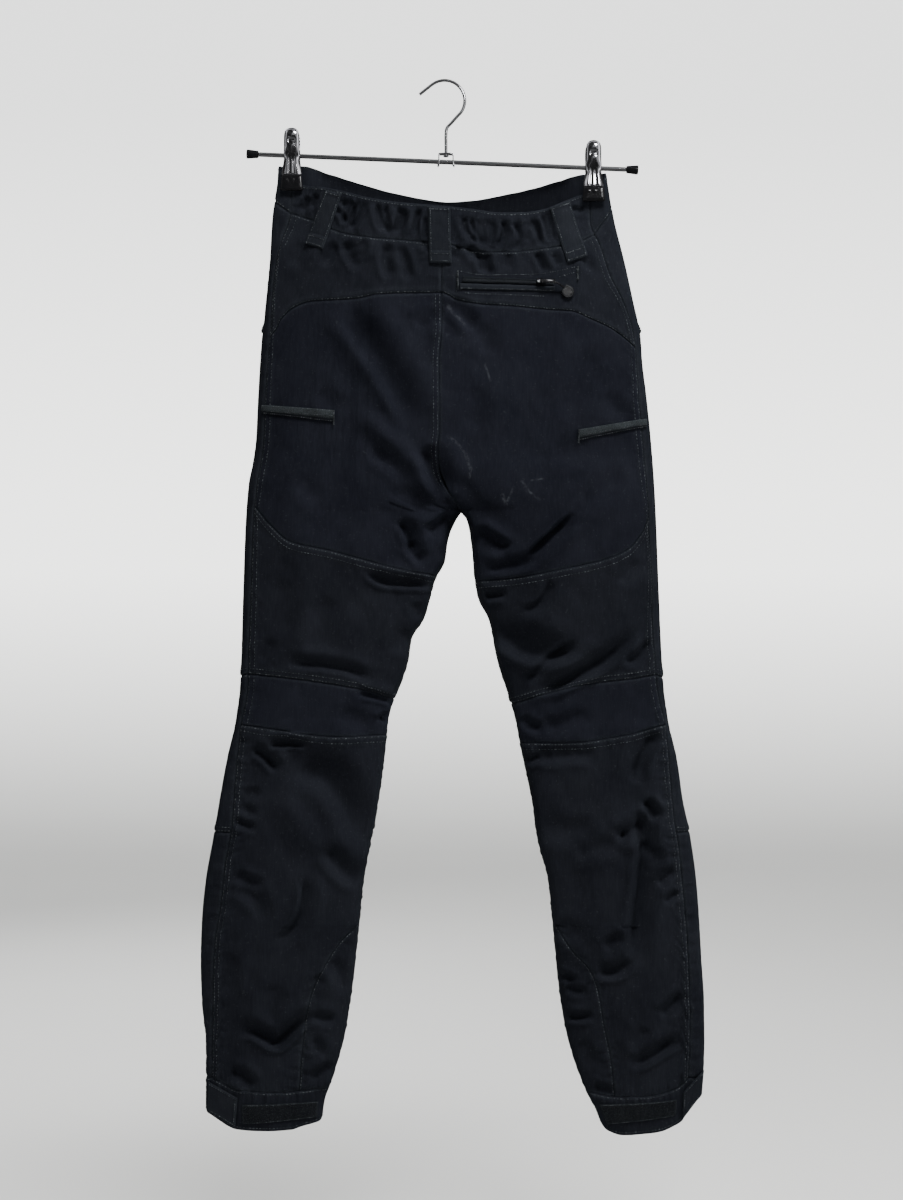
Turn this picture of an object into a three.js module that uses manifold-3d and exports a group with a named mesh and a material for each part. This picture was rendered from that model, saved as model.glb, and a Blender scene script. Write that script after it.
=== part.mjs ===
// Hiking trousers hung by the waist from a two-clip hanger, seen from behind.
// Millimetres. X runs to the right seen from behind, Y to the front of the trousers, Z up.
// The origin is the inner top of the hanger's hook, where a rail or peg carries it.
import * as THREE from 'three';
import { mergeVertices } from 'three/addons/utils/BufferGeometryUtils.js';
import Module from 'manifold-3d';

const wasm = await Module();
wasm.setup();

// Cloth walls and the gaps between pieces
const CLOTH_WALL = 1.5;
const BAND_WALL = 2.2;
const SEAM_GAP = 0.3;
const LIFT = 0.45;

// Heights on the centre line
const FORK_Z = -456;
const SEAT_CURVE_TOP_Z = -395;
const FORK_SIDE_Z = -402;
const SHIN_SEAM_Z = -786;
const ANKLE_ROW_Z = -882;
const WAIST_FRONT_DROP = 36;

// Cells along each piece: across the back, across the front with its wrap to the side seam
const BACK_CELLS = 10;
const FRONT_CELLS = 10;
const ANKLE_CELLS = 4;
const BAND_ROWS = 3;
const ROWS = { yoke: 4, seat: 11, under: 3, thigh: 6, knee: 2, calf: 4, shin: 4, ankle: 7, hem: 2 };

// Centre seam: height, x
const CENTRE = [
  [-80, -4.4], [-260, -4.4], [-300, -7], [-368, -6.5], [-390, -8.5], [-411, -6.5], [-426, -1],
  [-441, 9], [FORK_Z, 17],
];

// Outer edge of each half: height, x
const OUTER = {
  left: [
    [-80, -175], [-104, -176], [-145, -181.5], [-187, -184], [-229, -188], [-250, -190], [-271, -192.5],
    [-334, -196.5], [-376, -198.5], [-402, -202], [-422, -206], [-460, -209], [-544, -212],
    [-628, -214.5], [-670, -219.5], [-712, -229], [-796, -243.5], [-838, -251], [-880, -255],
    [-922, -256.2], [-964, -255], [-1006, -251], [-1048, -250.5], [-1100, -250],
  ],
  right: [
    [-80, 165], [-108, 169], [-145, 175.5], [-187, 186], [-229, 195.3], [-271, 203.7], [-292, 205],
    [-334, 210], [-376, 214.2], [-418, 217.4], [-460, 219.5], [-544, 222.7], [-628, 226.8],
    [-670, 232], [-712, 241.5], [-754, 247.5], [-796, 256], [-838, 261.5], [-880, 264.7],
    [-922, 267], [-964, 269.6], [-1006, 270], [-1048, 267.8], [-1100, 262],
  ],
};

// Inseam of each leg below the fork: height, x
const INSEAM = {
  left: [
    [FORK_Z, 17], [-460, 9.5], [-481, 1], [-502, -2], [-523, -12.5], [-544, -18], [-565, -25],
    [-584, -37], [-607, -40.5], [-628, -47], [-649, -55.5], [-670, -61], [-712, -65.5],
    [-754, -71.4], [-796, -79], [-838, -87], [-880, -91.3], [-964, -100.8], [-1006, -108.2],
    [-1048, -120.8], [-1069, -128], [-1100, -132],
  ],
  right: [
    [FORK_Z, 17], [-460, 23], [-481, 27.3], [-523, 31.5], [-544, 35.5], [-565, 46.5], [-607, 55],
    [-649, 68.2], [-670, 73.5], [-712, 82], [-754, 91], [-796, 97], [-838, 108], [-880, 112.4],
    [-964, 121], [-1006, 129.2], [-1048, 143], [-1069, 153], [-1100, 164],
  ],
};

// Half depths of both halves: height, back, front, edge fold, roundness
const DEPTH = [
  [-80, 24, 22, 3.2, 2.4], [-150, 26, 24, 3.8, 2.2], [-190, 29, 26, 5, 1.8], [-250, 32, 28, 8, 1.4],
  [-340, 35, 30, 10, 1.15], [-456, 35, 31, 12, 1], [-560, 31, 31, 12, 0.95], [-650, 27, 33, 12, 0.95],
  [-720, 25, 33, 12, 0.95], [-800, 27, 27, 12, 0.95], [-900, 28, 25, 12, 0.95],
  [-1000, 25, 23, 11, 0.95], [-1100, 23, 21, 10, 0.95],
];
const EDGE_TURN = 4;

// Side seam, on the back: height, x
const SIDE_SEAM = {
  left: [
    [-100, -161], [-140, -163], [-170, -172], [-200, -178.6], [-231, -181.8], [-273, -183.5],
    [-334, -187.5], [-376, -189.5], [-420, -196], [-460, -199.5], [-544, -203], [-628, -205.5],
    [-650, -208], [-675, -213.7], [-734, -219.4], [-779, -222], [-817, -228.9], [-866, -234.5],
    [-897, -239.4], [-961, -242.1], [-1037, -243.5], [-1100, -243],
  ],
  right: [
    [-100, 150], [-150, 151.5], [-173, 160.9], [-205, 171.4], [-231, 183.9], [-258, 193],
    [-281, 196.5], [-334, 200.5], [-418, 208], [-502, 212.5], [-586, 216], [-628, 218.5],
    [-650, 222.5], [-675, 228.5], [-726, 233.2], [-772, 237], [-810, 242.5], [-866, 248.3],
    [-923, 252], [-980, 254], [-1037, 252.5], [-1100, 250],
  ],
};

// Edge of the inner ankle patch: height, x
const ANKLE_SEAM = {
  left: [
    [-882, -90], [-897, -106.6], [-914, -119.7], [-938, -132.8], [-964, -142.3], [-994, -147],
    [-1043, -151.5], [-1100, -154],
  ],
  right: [
    [-882, 113], [-897, 123], [-912, 134], [-927, 148.3], [-945, 156.5], [-987, 164.5],
    [-1032, 172.7], [-1100, 178],
  ],
};

// Seams across the back: x, height
const BAND_TOP_BACK = [
  [-176, -104], [-148, -110], [-131, -113], [-105, -119], [-84, -125], [-48, -131.5], [4, -136],
  [30, -139], [56, -142], [82, -141], [103, -137], [118, -130.5], [144, -119], [169, -112],
];
const BAND_TOP_FRONT = [
  [-176, -89], [-154, -88], [-123, -95], [-91, -104], [-60, -112], [-17, -120], [1, -122],
  [25, -121], [57, -116], [89, -110], [121, -102], [146, -97], [169, -96],
];
const WAIST_SEAM_BACK = [
  [-183, -135], [-161, -140], [-141, -147], [-122, -157], [-104, -163.5], [-78, -168],
  [-37, -172], [-4.4, -175], [25, -181], [46, -184], [77, -182.5], [102, -179], [118, -176],
  [139, -170], [156, -162], [180, -149],
];
const CENTRE_X = -4.4;
const YOKE_SEAM = [
  [-184, -272], [-177, -262], [-172, -252], [-158.5, -240], [-141, -234.5], [-118, -233.5],
  [-92, -232], [-72, -228.5], [-40, -227], [CENTRE_X, -227], [10.8, -233.6], [33, -238.5],
  [68, -240.5], [104, -243.5], [131, -245], [149, -251.6], [170, -260.6], [185, -271], [196, -281],
];
const THIGH_SEAM = {
  left: [
    [-199, -446], [-183.4, -465.6], [-161.4, -484], [-118, -494], [-81.5, -503.8],
    [-45, -512.9], [-12, -518.5],
  ],
  right: [
    [31, -525], [46, -523.8], [82, -520], [118.5, -513], [155, -505.6], [187.4, -492.7],
    [205.7, -472], [211, -453],
  ],
};
const KNEE_TOP = {
  left: [[-207, -621], [-151.5, -627], [-102.8, -634.4], [-76.5, -640], [-55, -648]],
  right: [[68, -653], [110.9, -640], [148.3, -631.4], [185.8, -627], [221, -622]],
};
const KNEE_BOTTOM = {
  left: [[-214, -673.8], [-170, -680], [-114, -686.2], [-63, -685]],
  right: [[78, -693], [129.6, -692.5], [185.8, -685], [228, -673.8]],
};
const HEM_TOP = {
  left: [[-251, -1039], [-245, -1041], [-213.4, -1054], [-170, -1056], [-122, -1052]],
  right: [[143, -1055], [174, -1061], [205, -1060], [240, -1052], [262, -1033], [268, -1030]],
};
const HEM_BOTTOM = {
  left: [
    [-251, -1070], [-246, -1073], [-216.5, -1089], [-192, -1092], [-161, -1092], [-150, -1088],
    [-128, -1082],
  ],
  right: [
    [159, -1082], [166, -1091], [180, -1095], [200, -1094], [221, -1089], [236, -1080],
    [256, -1060], [266, -1052],
  ],
};

// Gathers of the elastic waist, one dark fold line each: x
const GATHERS = {
  left: [-139.9, -110.9, -104.6, -97.4, -91.2, -66.3, -58, -47.6, -28.9, -22.7],
  right: [127.7, 106.9, 98.6, 84.1, 66.5, 49.9, 42.6, 33.3, 27.1, 19.8],
};
const GATHER_DEPTH = 2.6;

// Folds: the route in x and height, half width, depth inwards (a ridge is below zero)
const FOLDS_BACK = [
  { route: [[-92.7, -253.5], [-16.4, -355.6], [-9.2, -403]], width: 13, depth: 5 },
  { route: [[-107, -258], [-60, -355]], width: 12, depth: -3 },
  { route: [[-74, -323.6], [5.3, -425.8]], width: 12, depth: 4 },
  { route: [[-45, -440], [-26.7, -502]], width: 10, depth: 4 },
  { route: [[-81, -516.5], [-16.4, -523.7]], width: 11, depth: 4 },
  { route: [[28, -465], [78.5, -502], [130, -450.5]], width: 14, depth: 5 },
  { route: [[2.2, -239], [28, -265]], width: 10, depth: 3 },
  { route: [[-167, -611.5], [-69, -631]], width: 12, depth: 4 },
  { route: [[54.8, -590], [84.7, -615.6], [133.2, -604.2], [204.4, -570.2]], width: 12, depth: 4.5 },
  { route: [[88.8, -631], [133.2, -627], [178.6, -604.2]], width: 10, depth: 3 },
  { route: [[-183.6, -696], [-140.2, -694]], width: 9, depth: 3 },
  { route: [[-170.1, -728], [-91.7, -825]], width: 14, depth: 5 },
  { route: [[-147.4, -825], [-151.5, -877.6], [-167, -897]], width: 12, depth: 4 },
  { route: [[-215.5, -990], [-188.7, -990], [-174.2, -1001.4], [-140.2, -975.6]], width: 10, depth: 4 },
  { route: [[204.4, -762], [204.4, -825], [197.2, -881.7], [178.6, -927]], width: 13, depth: 5 },
  { route: [[174.5, -1028.2], [234.3, -990]], width: 10, depth: 3.5 },
  { route: [[120, -760], [150, -800]], width: 12, depth: 3 },
];
const FOLDS_FRONT = [
  { route: [[-110, -260], [-40, -340], [-15, -395]], width: 14, depth: 4 },
  { route: [[100, -262], [45, -330], [15, -390]], width: 14, depth: 4.5 },
  { route: [[-150, -450], [-80, -478], [-20, -470]], width: 13, depth: 3.5 },
  { route: [[40, -478], [100, -492], [170, -462]], width: 13, depth: 4 },
  { route: [[-195, -640], [-140, -655], [-80, -645]], width: 12, depth: 3.5 },
  { route: [[90, -650], [150, -662], [215, -640]], width: 12, depth: 4 },
  { route: [[-225, -800], [-170, -840], [-130, -900]], width: 14, depth: 4.5 },
  { route: [[120, -800], [180, -850], [215, -930]], width: 14, depth: 4.5 },
  { route: [[-230, -1000], [-180, -1010], [-140, -985]], width: 10, depth: 3 },
  { route: [[160, -1005], [210, -1015], [250, -990]], width: 10, depth: 3 },
];

// Clips: x of the middle, top and jaw end heights
const CLIPS = {
  left: { x: -161.5, top: -50, grip: -99.5, end: -116, side: -1 },
  right: { x: 154.5, top: -63, grip: -112, end: -127.5, side: 1 },
};
const PINCH_HALF_WIDTH = 24;
const PINCH = 0.96;
const PINCH_TOP_Z = -130;
const PINCH_FADE_Z = -185;

// Hanger
const ROD = { radius: 2.4, left: [-196.5, -76.6], right: [189, -92.4] };
const HOOK = { wire: 1.6, centre: [-1.5, -20], arc: 21.2, shankTop: -51.5, shankEnd: -80.6 };

const COLOURS = {
  canvas: 0x14171c,
  stretch: 0x12161f,
  trim: 0x191c20,
  tape: 0x2b2e31,
  chrome: 0xd8dadd,
  dipped: 0x0d0d0e,
};

const clamp = (value, low, high) => Math.min(high, Math.max(low, value));
const mix = (a, b, f) => a + (b - a) * f;

function smoothStep(low, high, value) {
  const f = clamp((value - low) / (high - low), 0, 1);
  return f * f * (3 - 2 * f);
}

// A curve through a table's rows that never overshoots them (monotone cubic)
function curve(rows, column = 1) {
  const sorted = [...rows].sort((a, b) => a[0] - b[0]);
  const xs = sorted.map((row) => row[0]);
  const ys = sorted.map((row) => row[column]);
  const last = xs.length - 1;
  const slopes = xs.slice(1).map((x, i) => (ys[i + 1] - ys[i]) / (x - xs[i]));
  const tangents = xs.map((x, i) => {
    if (i === 0) return slopes[0];
    if (i === last) return slopes[last - 1];
    if (slopes[i - 1] * slopes[i] <= 0) return 0;
    return (2 * slopes[i - 1] * slopes[i]) / (slopes[i - 1] + slopes[i]);
  });
  return (x) => {
    const at = clamp(x, xs[0], xs[last]);
    let i = 0;
    while (i < last - 1 && at > xs[i + 1]) i += 1;
    const step = xs[i + 1] - xs[i];
    const f = (at - xs[i]) / step;
    const rise = f * f * (3 - 2 * f);
    return mix(ys[i], ys[i + 1], rise)
      + step * f * (1 - f) * ((1 - f) * tangents[i] - f * tangents[i + 1]);
  };
}

const centreAt = curve(CENTRE);
const outerAt = { left: curve(OUTER.left), right: curve(OUTER.right) };
const inseamAt = { left: curve(INSEAM.left), right: curve(INSEAM.right) };
const sideSeamAt = { left: curve(SIDE_SEAM.left), right: curve(SIDE_SEAM.right) };
const ankleSeamAt = { left: curve(ANKLE_SEAM.left), right: curve(ANKLE_SEAM.right) };
const depthAt = [1, 2, 3, 4].map((column) => curve(DEPTH, column));

// The section of one half at a height. Its sweep is a quarter turn in the seat, where the centre seam
// is its far end, and a half turn in the leg, where the section closes at the inseam.
function section(half, z) {
  const [back, front, fold, round] = depthAt.map((at) => at(z));
  const drop = clamp((SEAT_CURVE_TOP_Z - z) / (SEAT_CURVE_TOP_Z - FORK_Z), 0, 1);
  return {
    outer: outerAt[half](z),
    inner: z > FORK_Z ? centreAt(z) : inseamAt[half](z),
    back,
    front,
    fold,
    round,
    sweep: Math.acos(-drop),
  };
}

// How far the clips press the walls together near a place on the waist
function pinchAt(half, x, z) {
  const away = Math.abs(x - CLIPS[half].x) / PINCH_HALF_WIDTH;
  return PINCH * Math.exp(-(away ** 4)) * smoothStep(PINCH_FADE_Z, PINCH_TOP_Z, z);
}

// A place on the plain form: turn is 0 at the outer edge, 1 at the back's inner end, -1 at the front's
function formPoint(half, turn, z) {
  const s = section(half, z);
  const angle = s.sweep * Math.abs(turn);
  const x = mix(s.outer, s.inner, (1 - Math.cos(angle)) / (1 - Math.cos(s.sweep)));
  const outerTurn = Math.sin(Math.min(EDGE_TURN * angle, Math.PI / 2));
  const innerTurn = Math.sin(Math.min(EDGE_TURN * (Math.PI - angle), Math.PI / 2));
  const depth = (turn >= 0 ? s.back : s.front) - s.fold;
  const belly = depth * Math.max(Math.sin(angle), 0) ** s.round * (1 - pinchAt(half, x, z));
  const rise = s.fold * outerTurn * Math.max(innerTurn, 0) + belly;
  return new THREE.Vector3(x, turn >= 0 ? -rise : rise, z);
}

const PROBE_TURN = 0.01;
const PROBE_Z = 1;

function formNormal(half, turn, z) {
  const low = clamp(turn - PROBE_TURN, -1, 1);
  const high = clamp(turn + PROBE_TURN, -1, 1);
  const across = formPoint(half, high, z).sub(formPoint(half, low, z));
  const up = formPoint(half, turn, z + PROBE_Z).sub(formPoint(half, turn, z - PROBE_Z));
  const normal = across.cross(up).normalize();
  return half === 'left' ? normal : normal.negate();
}

function turnOf(half, x, z) {
  const s = section(half, z);
  const across = clamp((x - s.outer) / (s.inner - s.outer), 0, 1);
  return Math.acos(1 - across * (1 - Math.cos(s.sweep))) / s.sweep;
}

function distanceToRoute(route, x, z) {
  let nearest = Infinity;
  for (let i = 0; i + 1 < route.length; i += 1) {
    const [ax, az] = route[i];
    const [bx, bz] = route[i + 1];
    const length2 = (bx - ax) ** 2 + (bz - az) ** 2;
    const f = clamp(((x - ax) * (bx - ax) + (z - az) * (bz - az)) / length2, 0, 1);
    nearest = Math.min(nearest, Math.hypot(x - mix(ax, bx, f), z - mix(az, bz, f)));
  }
  return nearest;
}

// Depth of all folds at a place, fading out towards the edges of the half so that the outline stays
function foldDepth(turn, x, z, sweep) {
  const folds = turn > 0 ? FOLDS_BACK : FOLDS_FRONT;
  const sum = folds.reduce((total, fold) => {
    const away = distanceToRoute(fold.route, x, z) / fold.width;
    return total + fold.depth * Math.exp(-away * away);
  }, 0);
  const angle = sweep * Math.abs(turn);
  return sum * smoothStep(0.1, 0.5, angle) * smoothStep(0.1, 0.6, Math.PI - angle);
}

// A vertex of the cloth: its outer point and the direction of its wall
function clothPoint(half, turn, z, sink = 0) {
  const point = formPoint(half, turn, z);
  const normal = formNormal(half, turn, z);
  const depth = foldDepth(turn, point.x, z, section(half, z).sweep) + sink;
  return { point: point.addScaledVector(normal, -depth), normal };
}

// Rows round one half, from the waist seam to the hem. Each has its height on the back by x; the front
// runs from the same side seam point to the same inner end.
const waistBackAt = curve(WAIST_SEAM_BACK);
const bandTopBackAt = curve(BAND_TOP_BACK);
const bandTopFrontAt = curve(BAND_TOP_FRONT);
const yokeSeamAt = curve(YOKE_SEAM);

function sideTurn(half, z) {
  return turnOf(half, sideSeamAt[half](z), z);
}

// From the front's value at the outer edge to the back's at the side seam
function wrapped(half, turn, z, x, frontAt, backAt) {
  return mix(frontAt(x), backAt(x), clamp(turn / sideTurn(half, z), 0, 1));
}

function bandTop(half, turn, z, x) {
  return wrapped(half, turn, z, x, bandTopFrontAt, bandTopBackAt);
}

function waistSeam(half, turn, z, x) {
  return wrapped(half, turn, z, x, (at) => bandTopFrontAt(at) - WAIST_FRONT_DROP, waistBackAt);
}

// A row known on the back by x, carried round the front in a straight run
function roundRow(half, backAt, innerZ) {
  const zSide = solveSide(half, backAt);
  return (turn, z, x) => {
    const side = sideTurn(half, zSide);
    if (turn >= side) return backAt(x);
    return mix(zSide, innerZ, (side - turn) / (side + 1));
  };
}

function solveSide(half, backAt) {
  let z = backAt(sideSeamAt[half](-300));
  for (let i = 0; i < 12; i += 1) z = backAt(sideSeamAt[half](z));
  return z;
}

function rowsOf(half) {
  const levelRow = (zSide, zInner) => {
    const from = sideSeamAt[half](zSide);
    const to = zInner >= FORK_Z ? centreAt(zInner) : inseamAt[half](zInner);
    return roundRow(half, (x) => mix(zSide, zInner, clamp((x - from) / (to - from), 0, 1)), zInner);
  };
  const seam = (table, z) => {
    const at = curve(table);
    return roundRow(half, at, at(inseamAt[half](z)));
  };
  return {
    bandTop: (turn, z, x) => bandTop(half, turn, z, x),
    waist: (turn, z, x) => waistSeam(half, turn, z, x),
    yoke: roundRow(half, yokeSeamAt, yokeSeamAt(CENTRE_X)),
    fork: levelRow(FORK_SIDE_Z, FORK_Z),
    thigh: seam(THIGH_SEAM[half], -520),
    kneeTop: seam(KNEE_TOP[half], -648),
    kneeBottom: seam(KNEE_BOTTOM[half], -688),
    shin: levelRow(SHIN_SEAM_Z, SHIN_SEAM_Z),
    ankle: levelRow(ANKLE_ROW_Z, ANKLE_ROW_Z),
    hemTop: seam(HEM_TOP[half], -1053),
    hemBottom: seam(HEM_BOTTOM[half], -1082),
  };
}

// Solves for the place where a row between two key rows meets a column
function solvePlace(half, rows, upper, lower, f, turnAt) {
  let z = -300;
  let turn = turnAt(z);
  for (let i = 0; i < 24; i += 1) {
    const { x } = formPoint(half, turn, z);
    z = mix(z, mix(rows[upper](turn, z, x), rows[lower](turn, z, x), f), 0.7);
    turn = turnAt(z);
  }
  return { turn, z };
}

// Grid of cloth vertices between two key rows; columns is a list of functions of height
function grid(half, rows, upper, lower, count, columns) {
  const lines = [];
  for (let j = 0; j <= count; j += 1) {
    const f = j / count;
    lines.push(columns.map((turnAt) => {
      const place = solvePlace(half, rows, upper, lower, f, (z) => turnAt(z, f));
      return clothPoint(half, place.turn, place.z);
    }));
  }
  return lines;
}

const stack = (...grids) => grids.reduce((all, lines) => all.slice(0, -1).concat(lines), []);
const fractions = (count) => Array.from({ length: count + 1 }, (_, i) => i / count);

// Ridges between the gathers, as fractions of the way from the side seam to the centre
function ridgeTurns(half) {
  const lines = GATHERS[half];
  const ridges = lines.slice(1).map((x, i) => (x + lines[i]) / 2);
  return (z, i) => {
    if (i === 0) return sideTurn(half, z);
    return i > ridges.length ? 1 : turnOf(half, ridges[i - 1], z);
  };
}

function backColumns(half) {
  return fractions(BACK_CELLS).map((u) => (z) => mix(sideTurn(half, z), 1, u));
}

// Columns of the yoke run from the ridges at the waist to an even spread at its lower seam
function yokeColumns(half) {
  const ridge = ridgeTurns(half);
  return fractions(BACK_CELLS).map((u, i) => (z, f) => mix(ridge(z, i), mix(sideTurn(half, z), 1, u), f));
}

function frontColumns(half) {
  return fractions(FRONT_CELLS).map((u) => (z) => mix(sideTurn(half, z), -1, u));
}

const ANKLE_START = 1.5;

function ankleTurn(half, z) {
  const inset = half === 'left' ? -ANKLE_START : ANKLE_START;
  const x = ankleSeamAt[half](z);
  const limit = inseamAt[half](z) + inset;
  return turnOf(half, half === 'left' ? Math.min(x, limit) : Math.max(x, limit), z);
}

function calfColumns(half) {
  return fractions(BACK_CELLS).map((u) => (z) => mix(sideTurn(half, z), ankleTurn(half, z), u));
}

function ankleColumns(half) {
  return fractions(ANKLE_CELLS).map((u) => (z) => mix(ankleTurn(half, z), 1, u));
}

// Draws the rim of a grid in by half the seam gap, so that neighbours stay apart
function drawIn(lines, { ring = false } = {}) {
  const rows = lines.map((line) => line.map((v) => ({ point: v.point.clone(), normal: v.normal })));
  const lastRow = lines.length - 1;
  const lastColumn = lines[0].length - 1;
  const towards = (from, to) => to.clone().sub(from).setLength(SEAM_GAP / 2);
  lines[0].forEach((v, i) => {
    rows[0][i].point.add(towards(v.point, lines[1][i].point));
    rows[lastRow][i].point.add(towards(lines[lastRow][i].point, lines[lastRow - 1][i].point));
  });
  if (ring) return rows;
  lines.forEach((line, j) => {
    rows[j][0].point.add(towards(line[0].point, line[1].point));
    rows[j][lastColumn].point.add(towards(line[lastColumn].point, line[lastColumn - 1].point));
  });
  return rows;
}

// Closes a grid into a wall: outer skin, inner skin and the strips round its rim
function wallGeometry(lines, { wall = CLOTH_WALL, lift = 0, ring = false, flip = false } = {}) {
  const rows = lines.length;
  const columns = lines[0].length;
  const positions = [];
  const skin = (offset) => lines.forEach((line) => line.forEach((v) => {
    const p = v.point.clone().addScaledVector(v.normal, offset);
    positions.push(p.x, p.y, p.z);
  }));
  skin(lift > 0 ? lift + wall : 0);
  skin(lift > 0 ? lift : -wall);
  const inner = rows * columns;
  const triangles = [];
  const quad = (a, b, c, d) => triangles.push(a, b, c, a, c, d);
  const spans = ring ? columns : columns - 1;
  for (let j = 0; j + 1 < rows; j += 1) {
    for (let i = 0; i < spans; i += 1) {
      const next = (i + 1) % columns;
      const [a, b] = [j * columns + i, j * columns + next];
      const [c, d] = [(j + 1) * columns + next, (j + 1) * columns + i];
      quad(a, d, c, b);
      quad(inner + a, inner + b, inner + c, inner + d);
    }
    if (!ring) {
      const [a, d] = [j * columns, (j + 1) * columns];
      quad(a, inner + a, inner + d, d);
      const [b, c] = [a + columns - 1, d + columns - 1];
      quad(b, c, inner + c, inner + b);
    }
  }
  for (let i = 0; i < spans; i += 1) {
    const next = (i + 1) % columns;
    quad(i, next, inner + next, inner + i);
    const base = (rows - 1) * columns;
    quad(base + i, inner + base + i, inner + base + next, base + next);
  }
  if (flip) triangles.reverse();
  const geometry = new THREE.BufferGeometry();
  geometry.setAttribute('position', new THREE.Float32BufferAttribute(positions, 3));
  geometry.setIndex(triangles);
  geometry.computeVertexNormals();
  return geometry;
}

const group = new THREE.Group();
const finish = (color, roughness, metalness) => {
  return new THREE.MeshStandardMaterial({ color, roughness, metalness });
};
const clothMaterial = (colour) => finish(colour, 0.92, 0);
const chromeMaterial = () => finish(COLOURS.chrome, 0.12, 1);
const dippedMaterial = () => finish(COLOURS.dipped, 0.35, 0);

function addMesh(name, geometry, material) {
  const mesh = new THREE.Mesh(geometry, material);
  mesh.name = name;
  group.add(mesh);
  return mesh;
}

// Columns of a left half's back run to +X and a right half's to -X, so one of the two is turned over
function addPanel(name, lines, colour, options = {}) {
  addMesh(name, wallGeometry(drawIn(lines, options), options), clothMaterial(colour));
}

const panels = { left: {}, right: {} };

function buildHalf(half) {
  const rows = rowsOf(half);
  const back = backColumns(half);
  const front = frontColumns(half);
  const calf = calfColumns(half);
  const ankle = ankleColumns(half);
  const flip = half === 'right';
  const seat = stack(
    grid(half, rows, 'yoke', 'fork', ROWS.seat, back),
    grid(half, rows, 'fork', 'thigh', ROWS.under, back),
  );
  const frontThigh = stack(
    grid(half, rows, 'waist', 'yoke', ROWS.yoke, front),
    grid(half, rows, 'yoke', 'fork', ROWS.seat, front),
    grid(half, rows, 'fork', 'thigh', ROWS.under, front),
    grid(half, rows, 'thigh', 'kneeTop', ROWS.thigh, front),
  );
  const frontKnee = stack(
    grid(half, rows, 'kneeTop', 'kneeBottom', ROWS.knee, front),
    grid(half, rows, 'kneeBottom', 'shin', ROWS.calf, front),
  );
  const frontShin = stack(
    grid(half, rows, 'shin', 'ankle', ROWS.shin, front),
    grid(half, rows, 'ankle', 'hemTop', ROWS.ankle, front),
  );
  const calfBack = stack(
    grid(half, rows, 'kneeBottom', 'shin', ROWS.calf, back),
    grid(half, rows, 'shin', 'ankle', ROWS.shin, back),
    grid(half, rows, 'ankle', 'hemTop', ROWS.ankle, calf),
  );
  const made = {
    yoke: grid(half, rows, 'waist', 'yoke', ROWS.yoke, yokeColumns(half)),
    seat,
    thigh_back: grid(half, rows, 'thigh', 'kneeTop', ROWS.thigh, back),
    knee_back: grid(half, rows, 'kneeTop', 'kneeBottom', ROWS.knee, back),
    calf_back: calfBack,
    ankle_patch: grid(half, rows, 'ankle', 'hemTop', ROWS.ankle, ankle),
    front_thigh: frontThigh,
    front_knee: frontKnee,
    front_shin: frontShin,
  };
  const colours = { seat: COLOURS.stretch, knee_back: COLOURS.stretch };
  const onFront = ['front_thigh', 'front_knee', 'front_shin'];
  for (const [name, lines] of Object.entries(made)) {
    const turned = onFront.includes(name) ? !flip : flip;
    addPanel(`${name}_${half}`, lines, colours[name] ?? COLOURS.canvas, { flip: turned });
  }
  panels[half] = made;
}

buildHalf('left');
buildHalf('right');

// Waistband. The back runs from side seam to side seam, drawn in by its elastic; a column lies on each
// gather and on each ridge between two of them.
const BAND_FRACTIONS = fractions(BAND_ROWS);
const GATHER_SWELL = [0.45, 1, 1, 0.5];

function bandHalf(half) {
  const rows = rowsOf(half);
  const ridge = ridgeTurns(half);
  const turnAt = (i) => (z) => (i % 2 ? turnOf(half, GATHERS[half][(i - 1) / 2], z) : ridge(z, i / 2));
  const count = 2 * GATHERS[half].length;
  const lines = BAND_FRACTIONS.map((f, j) => Array.from({ length: count + 1 }, (_, i) => {
    const place = solvePlace(half, rows, 'bandTop', 'waist', f, turnAt(i));
    const sink = i % 2 ? GATHER_DEPTH * GATHER_SWELL[j] : 0;
    return clothPoint(half, place.turn, place.z, sink);
  }));
  const seamLine = lines[BAND_ROWS];
  for (let i = 1; i < count; i += 2) {
    const middle = seamLine[i - 1].point.clone().lerp(seamLine[i + 1].point, 0.5);
    const sink = GATHER_DEPTH * GATHER_SWELL[BAND_ROWS];
    seamLine[i].point.copy(middle).addScaledVector(seamLine[i].normal, -sink);
  }
  return lines;
}

function buildWaistband() {
  const left = bandHalf('left');
  const right = bandHalf('right').map((line) => line.reverse());
  const back = left.map((line, j) => line.concat(right[j].slice(1)));
  addPanel('waistband_back', back, COLOURS.canvas, { wall: BAND_WALL });
  for (const half of ['left', 'right']) {
    const lines = grid(half, rowsOf(half), 'bandTop', 'waist', BAND_ROWS, frontColumns(half));
    addPanel(`waistband_front_${half}`, lines, COLOURS.canvas, { wall: BAND_WALL, flip: half === 'left' });
  }
}
buildWaistband();

// Hem bands, one closed ring to a leg
function buildHem(half) {
  const front = frontColumns(half).slice(1, -1).reverse();
  const columns = [...calfColumns(half), ...ankleColumns(half).slice(1), ...front];
  const lines = grid(half, rowsOf(half), 'hemTop', 'hemBottom', ROWS.hem, columns);
  addPanel(`hem_band_${half}`, lines, COLOURS.canvas, { ring: true, flip: half === 'right' });
}
buildHem('left');
buildHem('right');

// Pieces that lie on the panels. Corners are x and height: top left, top right, bottom right, bottom left.
const halfAt = (x, z) => (x < centreAt(z) ? 'left' : 'right');

// A vertex raised, where the facets under it stand above the smooth cloth, to those facets
const PROBE_REACH = 20;
const cloth = group.children.slice();
const probe = new THREE.Raycaster();

function onFacets({ point, normal }) {
  probe.set(point.clone().addScaledVector(normal, PROBE_REACH), normal.clone().negate());
  probe.far = PROBE_REACH;
  const hits = probe.intersectObjects(cloth);
  return { point: hits.length ? hits[0].point.clone() : point, normal };
}

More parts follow.
